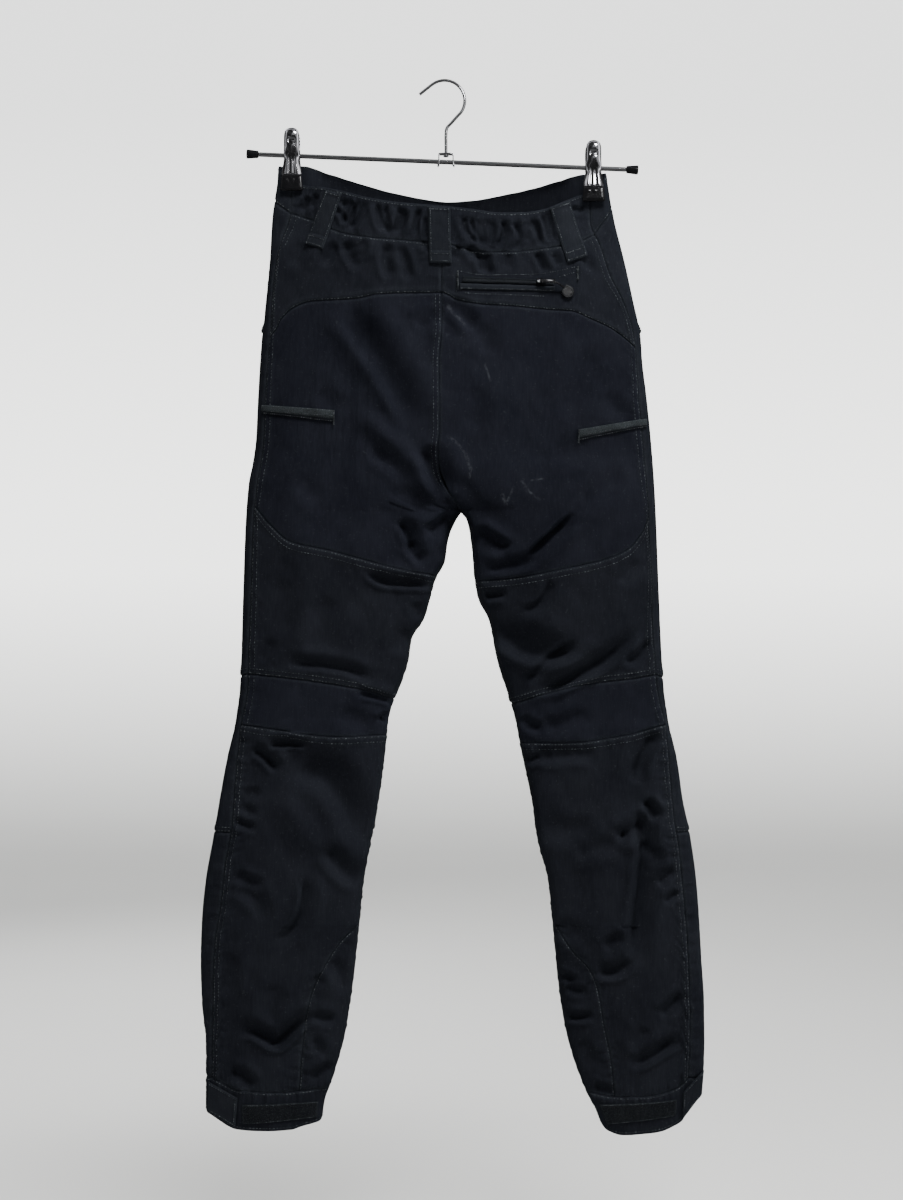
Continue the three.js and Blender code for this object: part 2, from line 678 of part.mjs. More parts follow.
function laidPoint(x, z, side) {
  const half = z > FORK_Z ? halfAt(x, z) : (x < 0 ? 'left' : 'right');
  const turn = turnOf(half, x, z);
  return onFacets(clothPoint(half, side === 'front' ? -turn : turn, z));
}

function laidGrid(corners, across, down, side = 'back') {
  const [topLeft, topRight, bottomRight, bottomLeft] = corners;
  return fractions(down).map((v) => fractions(across).map((u) => {
    const x = mix(mix(topLeft[0], topRight[0], u), mix(bottomLeft[0], bottomRight[0], u), v);
    const z = mix(mix(topLeft[1], topRight[1], u), mix(bottomLeft[1], bottomRight[1], u), v);
    return laidPoint(x, z, side);
  }));
}

function addLaid({ name, corners, across = 2, down = 6, wall = CLOTH_WALL, side = 'back', colour }) {
  const lines = laidGrid(corners, across, down, side);
  const geometry = wallGeometry(lines, { wall, lift: LIFT, flip: side === 'front' });
  addMesh(name, geometry, clothMaterial(colour ?? COLOURS.trim));
}

const BELT_LOOPS = [
  {
    name: 'belt_loop_back_left', side: 'back',
    corners: [[-125.5, -117], [-108, -122], [-127.5, -180], [-147, -173]],
  },
  {
    name: 'belt_loop_back_centre', side: 'back',
    corners: [[-18.5, -136.5], [4.5, -137.5], [6, -196.5], [-17, -196]],
  },
  {
    name: 'belt_loop_back_right', side: 'back',
    corners: [[107.6, -136], [128.5, -127], [147.5, -186], [126, -194.5]],
  },
  {
    name: 'belt_loop_front_left', side: 'front',
    corners: [[-98, -104], [-78, -109], [-78, -166], [-98, -161]],
  },
  {
    name: 'belt_loop_front_right', side: 'front',
    corners: [[70, -114], [90, -110], [90, -164], [70, -168]],
  },
];
BELT_LOOPS.forEach((loop) => addLaid({ ...loop, down: 8 }));

const LAID_STRIPS = [
  {
    name: 'thigh_zip_left', across: 12, down: 2, colour: COLOURS.tape,
    corners: [[-190.5, -341.5], [-115, -348], [-116, -360.5], [-191, -350.5]],
  },
  {
    name: 'thigh_zip_right', across: 12, down: 2, colour: COLOURS.tape,
    corners: [[137, -368], [207.5, -355.5], [208, -364.5], [137.5, -379.5]],
  },
  {
    name: 'hem_tab_left', across: 4, down: 4, wall: 2,
    corners: [[-244.5, -1044], [-216, -1056], [-216, -1087], [-245, -1071.5]],
  },
  {
    name: 'hem_tab_right', across: 4, down: 4, wall: 2,
    corners: [[241, -1052.5], [263.5, -1036], [260, -1056], [242, -1075]],
  },
  {
    name: 'hem_loop_strip_left', across: 10, down: 2,
    corners: [[-212, -1065], [-133, -1063], [-134, -1076], [-212, -1082]],
  },
  {
    name: 'hem_loop_strip_right', across: 10, down: 2,
    corners: [[158, -1067], [237, -1061], [236, -1074], [164, -1082]],
  },
  {
    name: 'back_pocket_zip', across: 14, down: 2, colour: COLOURS.tape,
    corners: [[17, -209.8], [112, -212.3], [112, -218.2], [17, -216.2]],
  },
  {
    name: 'back_pocket_welt', across: 14, down: 2,
    corners: [[14, -217.2], [113, -219.2], [113, -224.5], [14, -223.5]],
  },
];
LAID_STRIPS.forEach(addLaid);

// Fly placket on the wearer's left front, narrowing to the centre seam at its foot: height, width
const FLY = [
  [-162, 34], [-190, 34], [-218, 34], [-246, 34], [-270, 33], [-290, 29], [-306, 21], [-316, 11],
];
const FLY_EDGE = 2.5;

function buildFly() {
  const lines = FLY.map(([z, width]) => fractions(4).map((u) => {
    return laidPoint(centreAt(z) - FLY_EDGE - width * (1 - u), z, 'front');
  }));
  addMesh('fly_placket', wallGeometry(lines, { lift: LIFT, flip: true }), clothMaterial(COLOURS.canvas));
}
buildFly();

// Hand pocket edges, from the front of the waist back to the hip: height and turn round the half
const HAND_POCKET = { top: [-168, -0.54], foot: [-264, -0.03], halfTurn: 0.03, down: 20 };

function buildHandPocket(half) {
  const { top, foot, halfTurn, down } = HAND_POCKET;
  const lines = fractions(down).map((v) => fractions(2).map((u) => {
    const turn = mix(top[1], foot[1], v) + mix(-halfTurn, halfTurn, u);
    return onFacets(clothPoint(half, turn, mix(top[0], foot[0], v)));
  }));
  const options = { lift: LIFT, flip: half === 'right' };
  addMesh(`hand_pocket_edge_${half}`, wallGeometry(lines, options), clothMaterial(COLOURS.trim));
}
buildHandPocket('left');
buildHandPocket('right');

// Boolean work on closed bodies
function toSolid(geometry) {
  const bare = geometry.clone();
  bare.deleteAttribute('normal');
  bare.deleteAttribute('uv');
  const merged = mergeVertices(bare, 1e-4);
  return new wasm.Manifold(new wasm.Mesh({
    numProp: 3,
    vertProperties: new Float32Array(merged.attributes.position.array),
    triVerts: new Uint32Array(merged.index.array),
  }));
}

function fromSolid(solid) {
  const mesh = solid.getMesh();
  const geometry = new THREE.BufferGeometry();
  geometry.setAttribute('position', new THREE.BufferAttribute(mesh.vertProperties, 3));
  geometry.setIndex(new THREE.BufferAttribute(mesh.triVerts, 1));
  geometry.computeVertexNormals();
  return geometry;
}

const join = (first, ...others) => others.reduce((sum, other) => sum.add(other), first);

function boxSolid(low, high) {
  const size = high.map((v, i) => v - low[i]);
  const geometry = new THREE.BoxGeometry(...size);
  geometry.translate(...high.map((v, i) => (v + low[i]) / 2));
  return toSolid(geometry);
}

function rodBetween(a, b, radiusA, radiusB, sides) {
  const from = new THREE.Vector3(...a);
  const to = new THREE.Vector3(...b);
  const geometry = new THREE.CylinderGeometry(radiusB, radiusA, from.distanceTo(to), sides);
  const heading = to.clone().sub(from).normalize();
  geometry.applyQuaternion(new THREE.Quaternion().setFromUnitVectors(new THREE.Vector3(0, 1, 0), heading));
  geometry.translate(...from.add(to).multiplyScalar(0.5).toArray());
  return geometry;
}

// Button on the front of the waistband
const BUTTON = { radius: 8.5, bevel: 0.6, thickness: 3, x: -22, drop: 20 };

function buildButton() {
  const z = bandTopFrontAt(BUTTON.x) - BUTTON.drop;
  const { point, normal } = laidPoint(BUTTON.x, z, 'front');
  const seat = point.clone().addScaledVector(normal, LIFT);
  const face = seat.clone().addScaledVector(normal, BUTTON.thickness);
  const disc = rodBetween(seat.toArray(), face.toArray(), BUTTON.radius, BUTTON.radius - BUTTON.bevel, 20);
  addMesh('button', disc, dippedMaterial());
}
buildButton();

// Back pocket's zip slider and its pull. Their own frame stands on the zip: x along it, y up, z out of
// the cloth. The pull turns about a bar along y.
const SLIDER = {
  x: 98.5, z: -215, half: [5, 3.4], height: 2.6, bar: 0.7, barRise: 2.6, post: 0.9, gap: 0.3,
};
const PULL = {
  eye: 1.9, eyeLength: 3.8, hole: 1.1, tabEnd: 13.5, tabHalf: 2.2, thickness: 1.3,
  linkRadius: 0.8, shieldX: 27.5, shieldY: -10.5, shieldHalf: 6.6, shieldThickness: 2.2, drop: 3.4,
};

function zipFrame() {
  const { point, normal } = laidPoint(SLIDER.x, SLIDER.z, 'back');
  const out = normal.clone().setZ(0).normalize();
  const up = new THREE.Vector3(0, 0, 1);
  const along = up.clone().cross(out).normalize();
  const origin = point.addScaledVector(normal, LIFT + CLOTH_WALL + SLIDER.gap);
  return new THREE.Matrix4().makeBasis(along, up, out).setPosition(origin);
}

function buildBackZip() {
  const frame = zipFrame();
  const barZ = SLIDER.height + SLIDER.barRise;
  const [hx, hy] = SLIDER.half;
  const postY = hy - SLIDER.post / 2;
  const post = (y) => boxSolid(
    [-1, y - SLIDER.post / 2, SLIDER.height - 0.5],
    [1, y + SLIDER.post / 2, barZ + SLIDER.bar],
  );
  const bar = toSolid(rodBetween([0, -hy + 0.2, barZ], [0, hy - 0.2, barZ], SLIDER.bar, SLIDER.bar, 10));
  const slider = join(boxSolid([-hx, -hy, 0], [hx, hy, SLIDER.height]), post(postY), post(-postY), bar);
  addMesh('back_pocket_slider', fromSolid(slider).applyMatrix4(frame), chromeMaterial());

  const eyeHalf = PULL.eyeLength / 2;
  const eye = toSolid(rodBetween([0, -eyeHalf, barZ], [0, eyeHalf, barZ], PULL.eye, PULL.eye, 16));
  const hole = toSolid(rodBetween([0, -eyeHalf - 1, barZ], [0, eyeHalf + 1, barZ], PULL.hole, PULL.hole, 12));
  const tab = boxSolid(
    [0.5, -PULL.tabHalf, barZ - PULL.thickness / 2],
    [PULL.tabEnd, PULL.tabHalf, barZ + PULL.thickness / 2],
  );
  const endZ = barZ - PULL.drop;
  const linkFrom = [PULL.tabEnd - 1, -0.6, barZ];
  const linkTo = [PULL.shieldX - 3, PULL.shieldY + 4, endZ];
  const link = toSolid(rodBetween(linkFrom, linkTo, PULL.linkRadius, PULL.linkRadius, 8));
  const shield = toSolid(shieldEnd().translate(PULL.shieldX, PULL.shieldY, endZ - PULL.shieldThickness / 2));
  const pull = join(eye.add(tab).subtract(hole), link, shield);
  addMesh('back_pocket_zip_pull', fromSolid(pull).applyMatrix4(frame), dippedMaterial());
}

// Bare shield-shaped end of the pull, point down
function shieldEnd() {
  const r = PULL.shieldHalf;
  const outline = new THREE.Shape();
  outline.moveTo(0, -r);
  outline.quadraticCurveTo(r, -r * 0.6, r, r * 0.25);
  outline.quadraticCurveTo(r * 0.8, r, 0, r);
  outline.quadraticCurveTo(-r * 0.8, r, -r, r * 0.25);
  outline.quadraticCurveTo(-r, -r * 0.6, 0, -r);
  const depth = PULL.shieldThickness;
  return new THREE.ExtrudeGeometry(outline, { depth, bevelEnabled: false, curveSegments: 5 });
}
buildBackZip();

// Hanger: rod with end caps, hook, bracket and two clips
const rodLeft = new THREE.Vector2(...ROD.left);
const rodRight = new THREE.Vector2(...ROD.right);
const rodSlope = (rodRight.y - rodLeft.y) / (rodRight.x - rodLeft.x);
const rodZ = (x) => rodLeft.y + rodSlope * (x - rodLeft.x);
const onRod = (x) => [x, 0, rodZ(x)];
const CAP = { length: 12.5, inner: 3.1, outer: 4.7, gap: 0.3 };
const BRACKET = { half: 6.9, wall: 1.2, depth: 4.5, above: 7.9, below: 4.7, hole: 3.1, clearance: 0.35 };

function buildHanger() {
  const rod = rodBetween(onRod(rodLeft.x), onRod(rodRight.x), ROD.radius, ROD.radius, 16);
  addMesh('hanger_rod', rod, chromeMaterial());
  for (const [name, x, away] of [['left', rodLeft.x, -1], ['right', rodRight.x, 1]]) {
    const from = onRod(x + away * CAP.gap);
    const to = onRod(x + away * (CAP.gap + CAP.length));
    addMesh(`rod_cap_${name}`, rodBetween(from, to, CAP.inner, CAP.outer, 16), dippedMaterial());
  }
  const z = rodZ(0);
  const { half, wall, depth } = BRACKET;
  const block = boxSolid([-half, -depth, z - BRACKET.below], [half, depth, z + BRACKET.above]);
  const room = boxSolid(
    [-half + wall, -depth - 1, z - BRACKET.below - 1],
    [half - wall, depth + 1, z + BRACKET.above - wall],
  );
  const bore = toSolid(rodBetween(onRod(-half - 3), onRod(half + 3), BRACKET.hole, BRACKET.hole, 16));
  const shankRadius = HOOK.wire + BRACKET.clearance;
  const shankHole = toSolid(rodBetween([0, 0, z], [0, 0, z + 12], shankRadius, shankRadius, 14));
  const bracket = block.subtract(room).subtract(bore).subtract(shankHole);
  addMesh('hook_bracket', fromSolid(bracket), chromeMaterial());

  const plate = z + BRACKET.above;
  const head = toSolid(rodBetween([0, 0, plate - wall - 0.3], [0, 0, plate - wall - 1.3], 3, 2.6, 14));
  addMesh('hook', fromSolid(toSolid(hookWire(plate - wall - 0.6)).add(head)), chromeMaterial());
}

// The hook's wire: tip, round arc and shank
const HOOK_LEAD = [[-27.6, -13.5], [-20, -7.4]];
const HOOK_TURNS = [120, 90, 60, 30, 0, -28, -50];
const HOOK_TAIL = [[5.6, -43.6], [1, -49], [0, -56], [0, -66]];

function hookWire(endZ) {
  const [cx, cz] = HOOK.centre;
  const arc = HOOK_TURNS.map((degrees) => {
    const a = THREE.MathUtils.degToRad(degrees);
    return [cx + HOOK.arc * Math.cos(a), cz + HOOK.arc * Math.sin(a)];
  });
  const route = [...HOOK_LEAD, ...arc, ...HOOK_TAIL, [0, endZ]].map(([x, z]) => new THREE.Vector3(x, 0, z));
  const circle = new THREE.Shape();
  circle.absarc(0, 0, HOOK.wire, 0, 2 * Math.PI);
  const path = new THREE.CatmullRomCurve3(route, false, 'centripetal');
  const extrusion = { steps: 40, extrudePath: path, bevelEnabled: false, curveSegments: 5 };
  return new THREE.ExtrudeGeometry(circle, extrusion);
}
buildHanger();

// A clip: two sprung jaws pierced by the rod, each with a dipped pad that presses the waistband
const CLIP = {
  width: 17.8, plate: 1.2, spread: 9.5, waist: 7.6, flange: 1.1, flangeDrop: 4.4, flangeRise: 6,
  hole: 3.3, spring: 4.6, springHole: 3.2, springLength: 9, padHalf: 11.5, pad: 3.6, padGap: 0.3,
  corner: 5, shoulder: 1.7,
};

// Furthest that the waistband's faces reach to one side under a clip's pad
const REACH_STEPS = 12;

function bandReach(clip, direction) {
  let reach = 0;
  const [a, b, c, place] = [0, 1, 2, 3].map(() => new THREE.Vector3());
  for (const mesh of group.children.filter((child) => child.name.startsWith('waistband'))) {
    const { position } = mesh.geometry.attributes;
    const { index } = mesh.geometry;
    const count = index ? index.count : position.count;
    for (let k = 0; k < count; k += 3) {
      [a, b, c].forEach((corner, i) => corner.fromBufferAttribute(position, index ? index.getX(k + i) : k + i));
      if (Math.abs(a.x - clip.x) > 60) continue;
      for (let i = 0; i <= REACH_STEPS; i += 1) {
        for (let j = 0; i + j <= REACH_STEPS; j += 1) {
          place.copy(a).multiplyScalar(1 - (i + j) / REACH_STEPS);
          place.addScaledVector(b, i / REACH_STEPS).addScaledVector(c, j / REACH_STEPS);
          const beside = Math.abs(place.x - clip.x) < CLIP.padHalf + 1;
          const level = place.z > clip.end - 1 && place.z < clip.grip + 1;
          if (beside && level) reach = Math.max(reach, direction * place.y);
        }
      }
    }
  }
  return reach;
}

// Side profile of a jaw, as wide as the clip: y away from the rod, height
function jawPlate(clip, direction, padFace) {
  const gripY = padFace + CLIP.pad / 2 + CLIP.plate / 2;
  const outer = [
    [CLIP.spread, clip.top], [CLIP.spread + 0.6, clip.top - 6], [CLIP.waist, rodZ(clip.x)],
    [gripY, clip.grip + 3], [gripY, clip.grip + 0.3],
  ];
  const inner = outer.map(([y, z]) => [y - CLIP.plate, z]).reverse();
  const profile = new THREE.Shape([...outer, ...inner].map(([y, z]) => new THREE.Vector2(direction * y, z)));
  const plate = new THREE.ExtrudeGeometry(profile, { depth: CLIP.width, bevelEnabled: false });
  const basis = new THREE.Matrix4().makeBasis(
    new THREE.Vector3(0, 1, 0), new THREE.Vector3(0, 0, 1), new THREE.Vector3(1, 0, 0),
  );
  return toSolid(plate.applyMatrix4(basis).translate(clip.x - CLIP.width / 2, 0, 0));
}

// Face outline of a jaw with its rounded top, as a prism through both jaws
function jawOutline(clip) {
  const h = CLIP.width / 2;
  const neck = h - CLIP.shoulder;
  const outline = new THREE.Shape();
  outline.moveTo(-h, clip.grip - 1);
  outline.lineTo(h, clip.grip - 1);
  outline.lineTo(h, clip.top - 13);
  outline.quadraticCurveTo(neck, clip.top - 10, neck, clip.top - CLIP.corner);
  outline.quadraticCurveTo(neck, clip.top, neck - CLIP.corner, clip.top);
  outline.lineTo(CLIP.corner - neck, clip.top);
  outline.quadraticCurveTo(-neck, clip.top, -neck, clip.top - CLIP.corner);
  outline.quadraticCurveTo(-neck, clip.top - 10, -h, clip.top - 13);
  const depth = 60;
  const prism = new THREE.ExtrudeGeometry(outline, { depth, bevelEnabled: false, curveSegments: 5 });
  const basis = new THREE.Matrix4().makeBasis(
    new THREE.Vector3(1, 0, 0), new THREE.Vector3(0, 0, 1), new THREE.Vector3(0, -1, 0),
  );
  return toSolid(prism.applyMatrix4(basis).translate(clip.x, depth / 2, 0));
}

function buildClip(name, clip) {
  const z = rodZ(clip.x);
  const bore = toSolid(rodBetween(onRod(clip.x - 14), onRod(clip.x + 14), CLIP.hole, CLIP.hole, 18));
  for (const [side, direction] of [['back', -1], ['front', 1]]) {
    const padFace = bandReach(clip, direction) + CLIP.padGap;
    const plate = jawPlate(clip, direction, padFace).intersect(jawOutline(clip));
    const inset = direction < 0 ? 0 : CLIP.flange + 0.3;
    const flange = (edge) => {
      const outerX = clip.x + edge * (CLIP.width / 2 - inset);
      const innerX = outerX - edge * CLIP.flange;
      const near = direction * -4.4;
      const far = direction * (CLIP.waist - 0.4);
      return boxSolid(
        [Math.min(outerX, innerX), Math.min(near, far), z - CLIP.flangeDrop],
        [Math.max(outerX, innerX), Math.max(near, far), z + CLIP.flangeRise],
      );
    };
    const jaw = join(plate, flange(-1), flange(1)).subtract(bore);
    addMesh(`clip_${name}_jaw_${side}`, fromSolid(jaw), chromeMaterial());
    const [near, far] = [direction * padFace, direction * (padFace + CLIP.pad)];
    const pad = new THREE.BoxGeometry(2 * CLIP.padHalf, CLIP.pad, clip.grip - clip.end);
    pad.translate(clip.x, (near + far) / 2, (clip.grip + clip.end) / 2);
    addMesh(`clip_${name}_pad_${side}`, pad, dippedMaterial());
  }
  const roundRod = (half, radius, sides) => {
    return toSolid(rodBetween(onRod(clip.x - half), onRod(clip.x + half), radius, radius, sides));
  };
  const coil = roundRod(CLIP.springLength / 2, CLIP.spring, 18);
  const core = roundRod(CLIP.springLength / 2 + 1, CLIP.springHole, 14);
  addMesh(`clip_${name}_spring`, fromSolid(coil.subtract(core)), chromeMaterial());
}
buildClip('left', CLIPS.left);
buildClip('right', CLIPS.right);

export default group;
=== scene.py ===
"""Hiking trousers hung by the waist from a two-clip hanger, seen from behind: the looks.

Tables are in millimetres, as in the part's source; meshes are in metres.
"""
import math

import bmesh
import bpy
import numpy as np
from mathutils import Matrix, Vector


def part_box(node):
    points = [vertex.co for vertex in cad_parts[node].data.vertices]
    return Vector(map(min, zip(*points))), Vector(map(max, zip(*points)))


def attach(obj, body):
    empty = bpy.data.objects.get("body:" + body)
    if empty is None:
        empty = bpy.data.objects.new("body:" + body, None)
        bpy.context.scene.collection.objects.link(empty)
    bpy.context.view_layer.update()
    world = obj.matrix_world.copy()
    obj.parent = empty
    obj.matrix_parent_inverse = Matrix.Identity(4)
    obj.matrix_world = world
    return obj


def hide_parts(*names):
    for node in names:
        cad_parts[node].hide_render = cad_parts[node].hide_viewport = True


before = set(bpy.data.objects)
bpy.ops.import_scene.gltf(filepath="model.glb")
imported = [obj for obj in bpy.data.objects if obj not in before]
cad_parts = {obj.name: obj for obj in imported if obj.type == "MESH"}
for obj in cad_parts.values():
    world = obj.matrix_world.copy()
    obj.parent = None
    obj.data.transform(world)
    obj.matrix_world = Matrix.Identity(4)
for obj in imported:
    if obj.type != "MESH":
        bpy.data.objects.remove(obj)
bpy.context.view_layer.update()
bpy.ops.object.select_all(action="DESELECT")

MM = 0.001
FORK_Z = -450.5
SEAT_CURVE_TOP_Z = -395
FORK_SIDE_Z = -402
SHIN_SEAM_Z = -786
ANKLE_ROW_Z = -882
WAIST_FRONT_DROP = 36
CENTRE_X = -4.4
EDGE_TURN = 4
ANKLE_START = 1.5

# Walls and laid pieces
CLOTH_WALL = 1.2
BAND_WALL = 2.0
LIFT = 0.45
LAID_WALL = 1.5

# Spacing of the cloth's mesh on the back, the front and the waistband
BACK_STEP = 2.4
FRONT_STEP = 3.4
BAND_STEP = 1.5

# How strongly the cloth's unevenness and its creases show
UNEVEN = 1.0
CREASE_DEPTH = 1.8
SIDE_SWELL = 0.9

# Centre seam: height, x
CENTRE = [
    [-80, -4.4], [-260, -4.4], [-300, -7], [-368, -6.5], [-390, -8.5], [-411, -6.5], [-426, -1],
    [-441, 9], [FORK_Z, 16],
]

# Outer edge of each half: height, x
OUTER = {
    "left": [
        [-80, -175], [-104, -176], [-145, -181.5], [-187, -184], [-229, -188], [-250, -190], [-271, -192.5],
        [-334, -196.5], [-376, -198.5], [-402, -202], [-422, -206], [-460, -209], [-544, -212],
        [-628, -214.5], [-670, -219.5], [-712, -229], [-796, -243.5], [-838, -251], [-880, -255],
        [-922, -256.2], [-964, -255], [-1006, -251], [-1048, -250.5], [-1100, -250],
    ],
    "right": [
        [-80, 165], [-108, 169], [-145, 175.5], [-187, 186], [-229, 195.3], [-271, 203.7], [-292, 205],
        [-334, 210], [-376, 214.2], [-418, 217.4], [-460, 219.5], [-544, 222.7], [-628, 226.8],
        [-670, 232], [-712, 241.5], [-754, 247.5], [-796, 256], [-838, 261.5], [-880, 264.7],
        [-922, 267], [-964, 269.6], [-1006, 270], [-1048, 267.8], [-1100, 262],
    ],
}

# Inseam of each leg below the fork: height, x
INSEAM = {
    "left": [
        [FORK_Z, 16], [-460, 9.5], [-481, 1], [-502, -2], [-523, -12.5], [-544, -18], [-565, -25],
        [-584, -37], [-607, -40.5], [-628, -47], [-649, -55.5], [-670, -61], [-712, -65.5],
        [-754, -71.4], [-796, -79], [-838, -87], [-880, -91.3], [-964, -100.8], [-1006, -108.2],
        [-1048, -120.8], [-1069, -128], [-1100, -132],
    ],
    "right": [
        [FORK_Z, 16], [-460, 23], [-481, 27.3], [-523, 31.5], [-544, 35.5], [-565, 46.5], [-607, 55],
        [-649, 68.2], [-670, 73.5], [-712, 82], [-754, 91], [-796, 97], [-838, 108], [-880, 112.4],
        [-964, 121], [-1006, 129.2], [-1048, 143], [-1069, 153], [-1100, 164],
    ],
}

# Half depths of both halves: height, back, front, edge fold, roundness
DEPTH = [
    [-80, 24, 22, 3.2, 2.4], [-150, 26, 24, 3.8, 2.2], [-190, 29, 26, 5, 1.8], [-250, 32, 28, 8, 1.4],
    [-340, 35, 30, 10, 1.15], [-456, 35, 31, 12, 1], [-560, 31, 31, 12, 0.95], [-650, 27, 33, 12, 0.95],
    [-720, 25, 33, 12, 0.95], [-800, 27, 27, 12, 0.95], [-900, 28, 25, 12, 0.95],
    [-1000, 25, 23, 11, 0.95], [-1100, 23, 21, 10, 0.95],
]

# Side seam, on the back: height, x
SIDE_SEAM = {
    "left": [
        [-100, -161], [-140, -163], [-170, -172], [-200, -178.6], [-231, -181.8], [-273, -183.5],
        [-334, -187.5], [-376, -189.5], [-420, -196], [-460, -199.5], [-544, -203], [-628, -205.5],
        [-650, -208], [-675, -213.7], [-734, -219.4], [-779, -222], [-817, -228.9], [-866, -234.5],
        [-897, -239.4], [-961, -242.1], [-1037, -243.5], [-1100, -243],
    ],
    "right": [
        [-100, 150], [-150, 151.5], [-173, 160.9], [-205, 171.4], [-231, 183.9], [-258, 193],
        [-281, 196.5], [-334, 200.5], [-418, 208], [-502, 212.5], [-586, 216], [-628, 218.5],
        [-650, 222.5], [-675, 228.5], [-726, 233.2], [-772, 237], [-810, 242.5], [-866, 248.3],
        [-923, 252], [-980, 254], [-1037, 252.5], [-1100, 250],
    ],
}

# Edge of the inner ankle patch: height, x
ANKLE_SEAM = {
    "left": [
        [-882, -90], [-897, -106.6], [-914, -119.7], [-938, -132.8], [-964, -142.3], [-994, -147],
        [-1043, -151.5], [-1100, -154],
    ],
    "right": [
        [-882, 113], [-897, 123], [-912, 134], [-927, 148.3], [-945, 156.5], [-987, 164.5],
        [-1032, 172.7], [-1100, 178],
    ],
}

# Seams across the back: x, height
BAND_TOP_BACK = [
    [-176, -104], [-148, -110], [-131, -113], [-105, -119], [-84, -125], [-48, -131.5], [4, -136],
    [30, -139], [56, -142], [82, -141], [103, -137], [118, -130.5], [144, -119], [169, -112],
]
BAND_TOP_FRONT = [
    [-176, -89], [-154, -88], [-123, -95], [-91, -104], [-60, -112], [-17, -120], [1, -122],
    [25, -121], [57, -116], [89, -110], [121, -102], [146, -97], [169, -96],
]
WAIST_SEAM_BACK = [
    [-183, -135], [-161, -140], [-141, -147], [-122, -157], [-104, -163.5], [-78, -168],
    [-37, -172], [-4.4, -175], [25, -181], [46, -184], [77, -182.5], [102, -179], [118, -176],
    [139, -170], [156, -162], [180, -149],
]
YOKE_SEAM = [
    [-184, -272], [-177, -262], [-172, -252], [-158.5, -240], [-141, -234.5], [-118, -233.5],
    [-92, -232], [-72, -228.5], [-40, -227], [CENTRE_X, -227], [10.8, -233.6], [33, -238.5],
    [68, -240.5], [104, -243.5], [131, -245], [149, -251.6], [170, -260.6], [185, -271], [196, -281],
]
THIGH_SEAM = {
    "left": [
        [-199, -446], [-183.4, -465.6], [-161.4, -484], [-118, -494], [-81.5, -503.8],
        [-45, -512.9], [-12, -518.5],
    ],
    "right": [
        [31, -525], [46, -523.8], [82, -520], [118.5, -513], [155, -505.6], [187.4, -492.7],
        [205.7, -472], [211, -453],
    ],
}
KNEE_TOP = {
    "left": [[-207, -621], [-151.5, -627], [-102.8, -634.4], [-76.5, -640], [-55, -648]],
    "right": [[68, -653], [110.9, -640], [148.3, -631.4], [185.8, -627], [221, -622]],
}
KNEE_BOTTOM = {
    "left": [[-214, -673.8], [-170, -680], [-114, -686.2], [-63, -685]],
    "right": [[78, -693], [129.6, -692.5], [185.8, -685], [228, -673.8]],
}
HEM_TOP = {
    "left": [[-251, -1039], [-245, -1041], [-213.4, -1054], [-170, -1056], [-122, -1052]],
    "right": [[143, -1055], [174, -1061], [205, -1060], [240, -1052], [262, -1033], [268, -1030]],
}
HEM_BOTTOM = {
    "left": [
        [-251, -1076], [-246, -1079], [-216.5, -1095], [-192, -1096], [-161, -1095], [-150, -1092],
        [-128, -1087],
    ],
    "right": [
        [146, -1066], [156, -1073], [162, -1090], [168, -1097], [182, -1101], [203, -1099], [224, -1096],
        [237, -1091], [246, -1086], [251, -1077], [259, -1068], [268, -1060],
    ],
}
HEM_BOTTOM_FRONT = {
    "left": [[-252, -1076], [-240, -1081], [-150, -1084], [-122, -1087]],
    "right": [[146, -1066], [160, -1077], [228, -1075], [250, -1068], [262, -1062], [268, -1060]],
}
CLIP_X = {"left": -161.5, "right": 154.5}

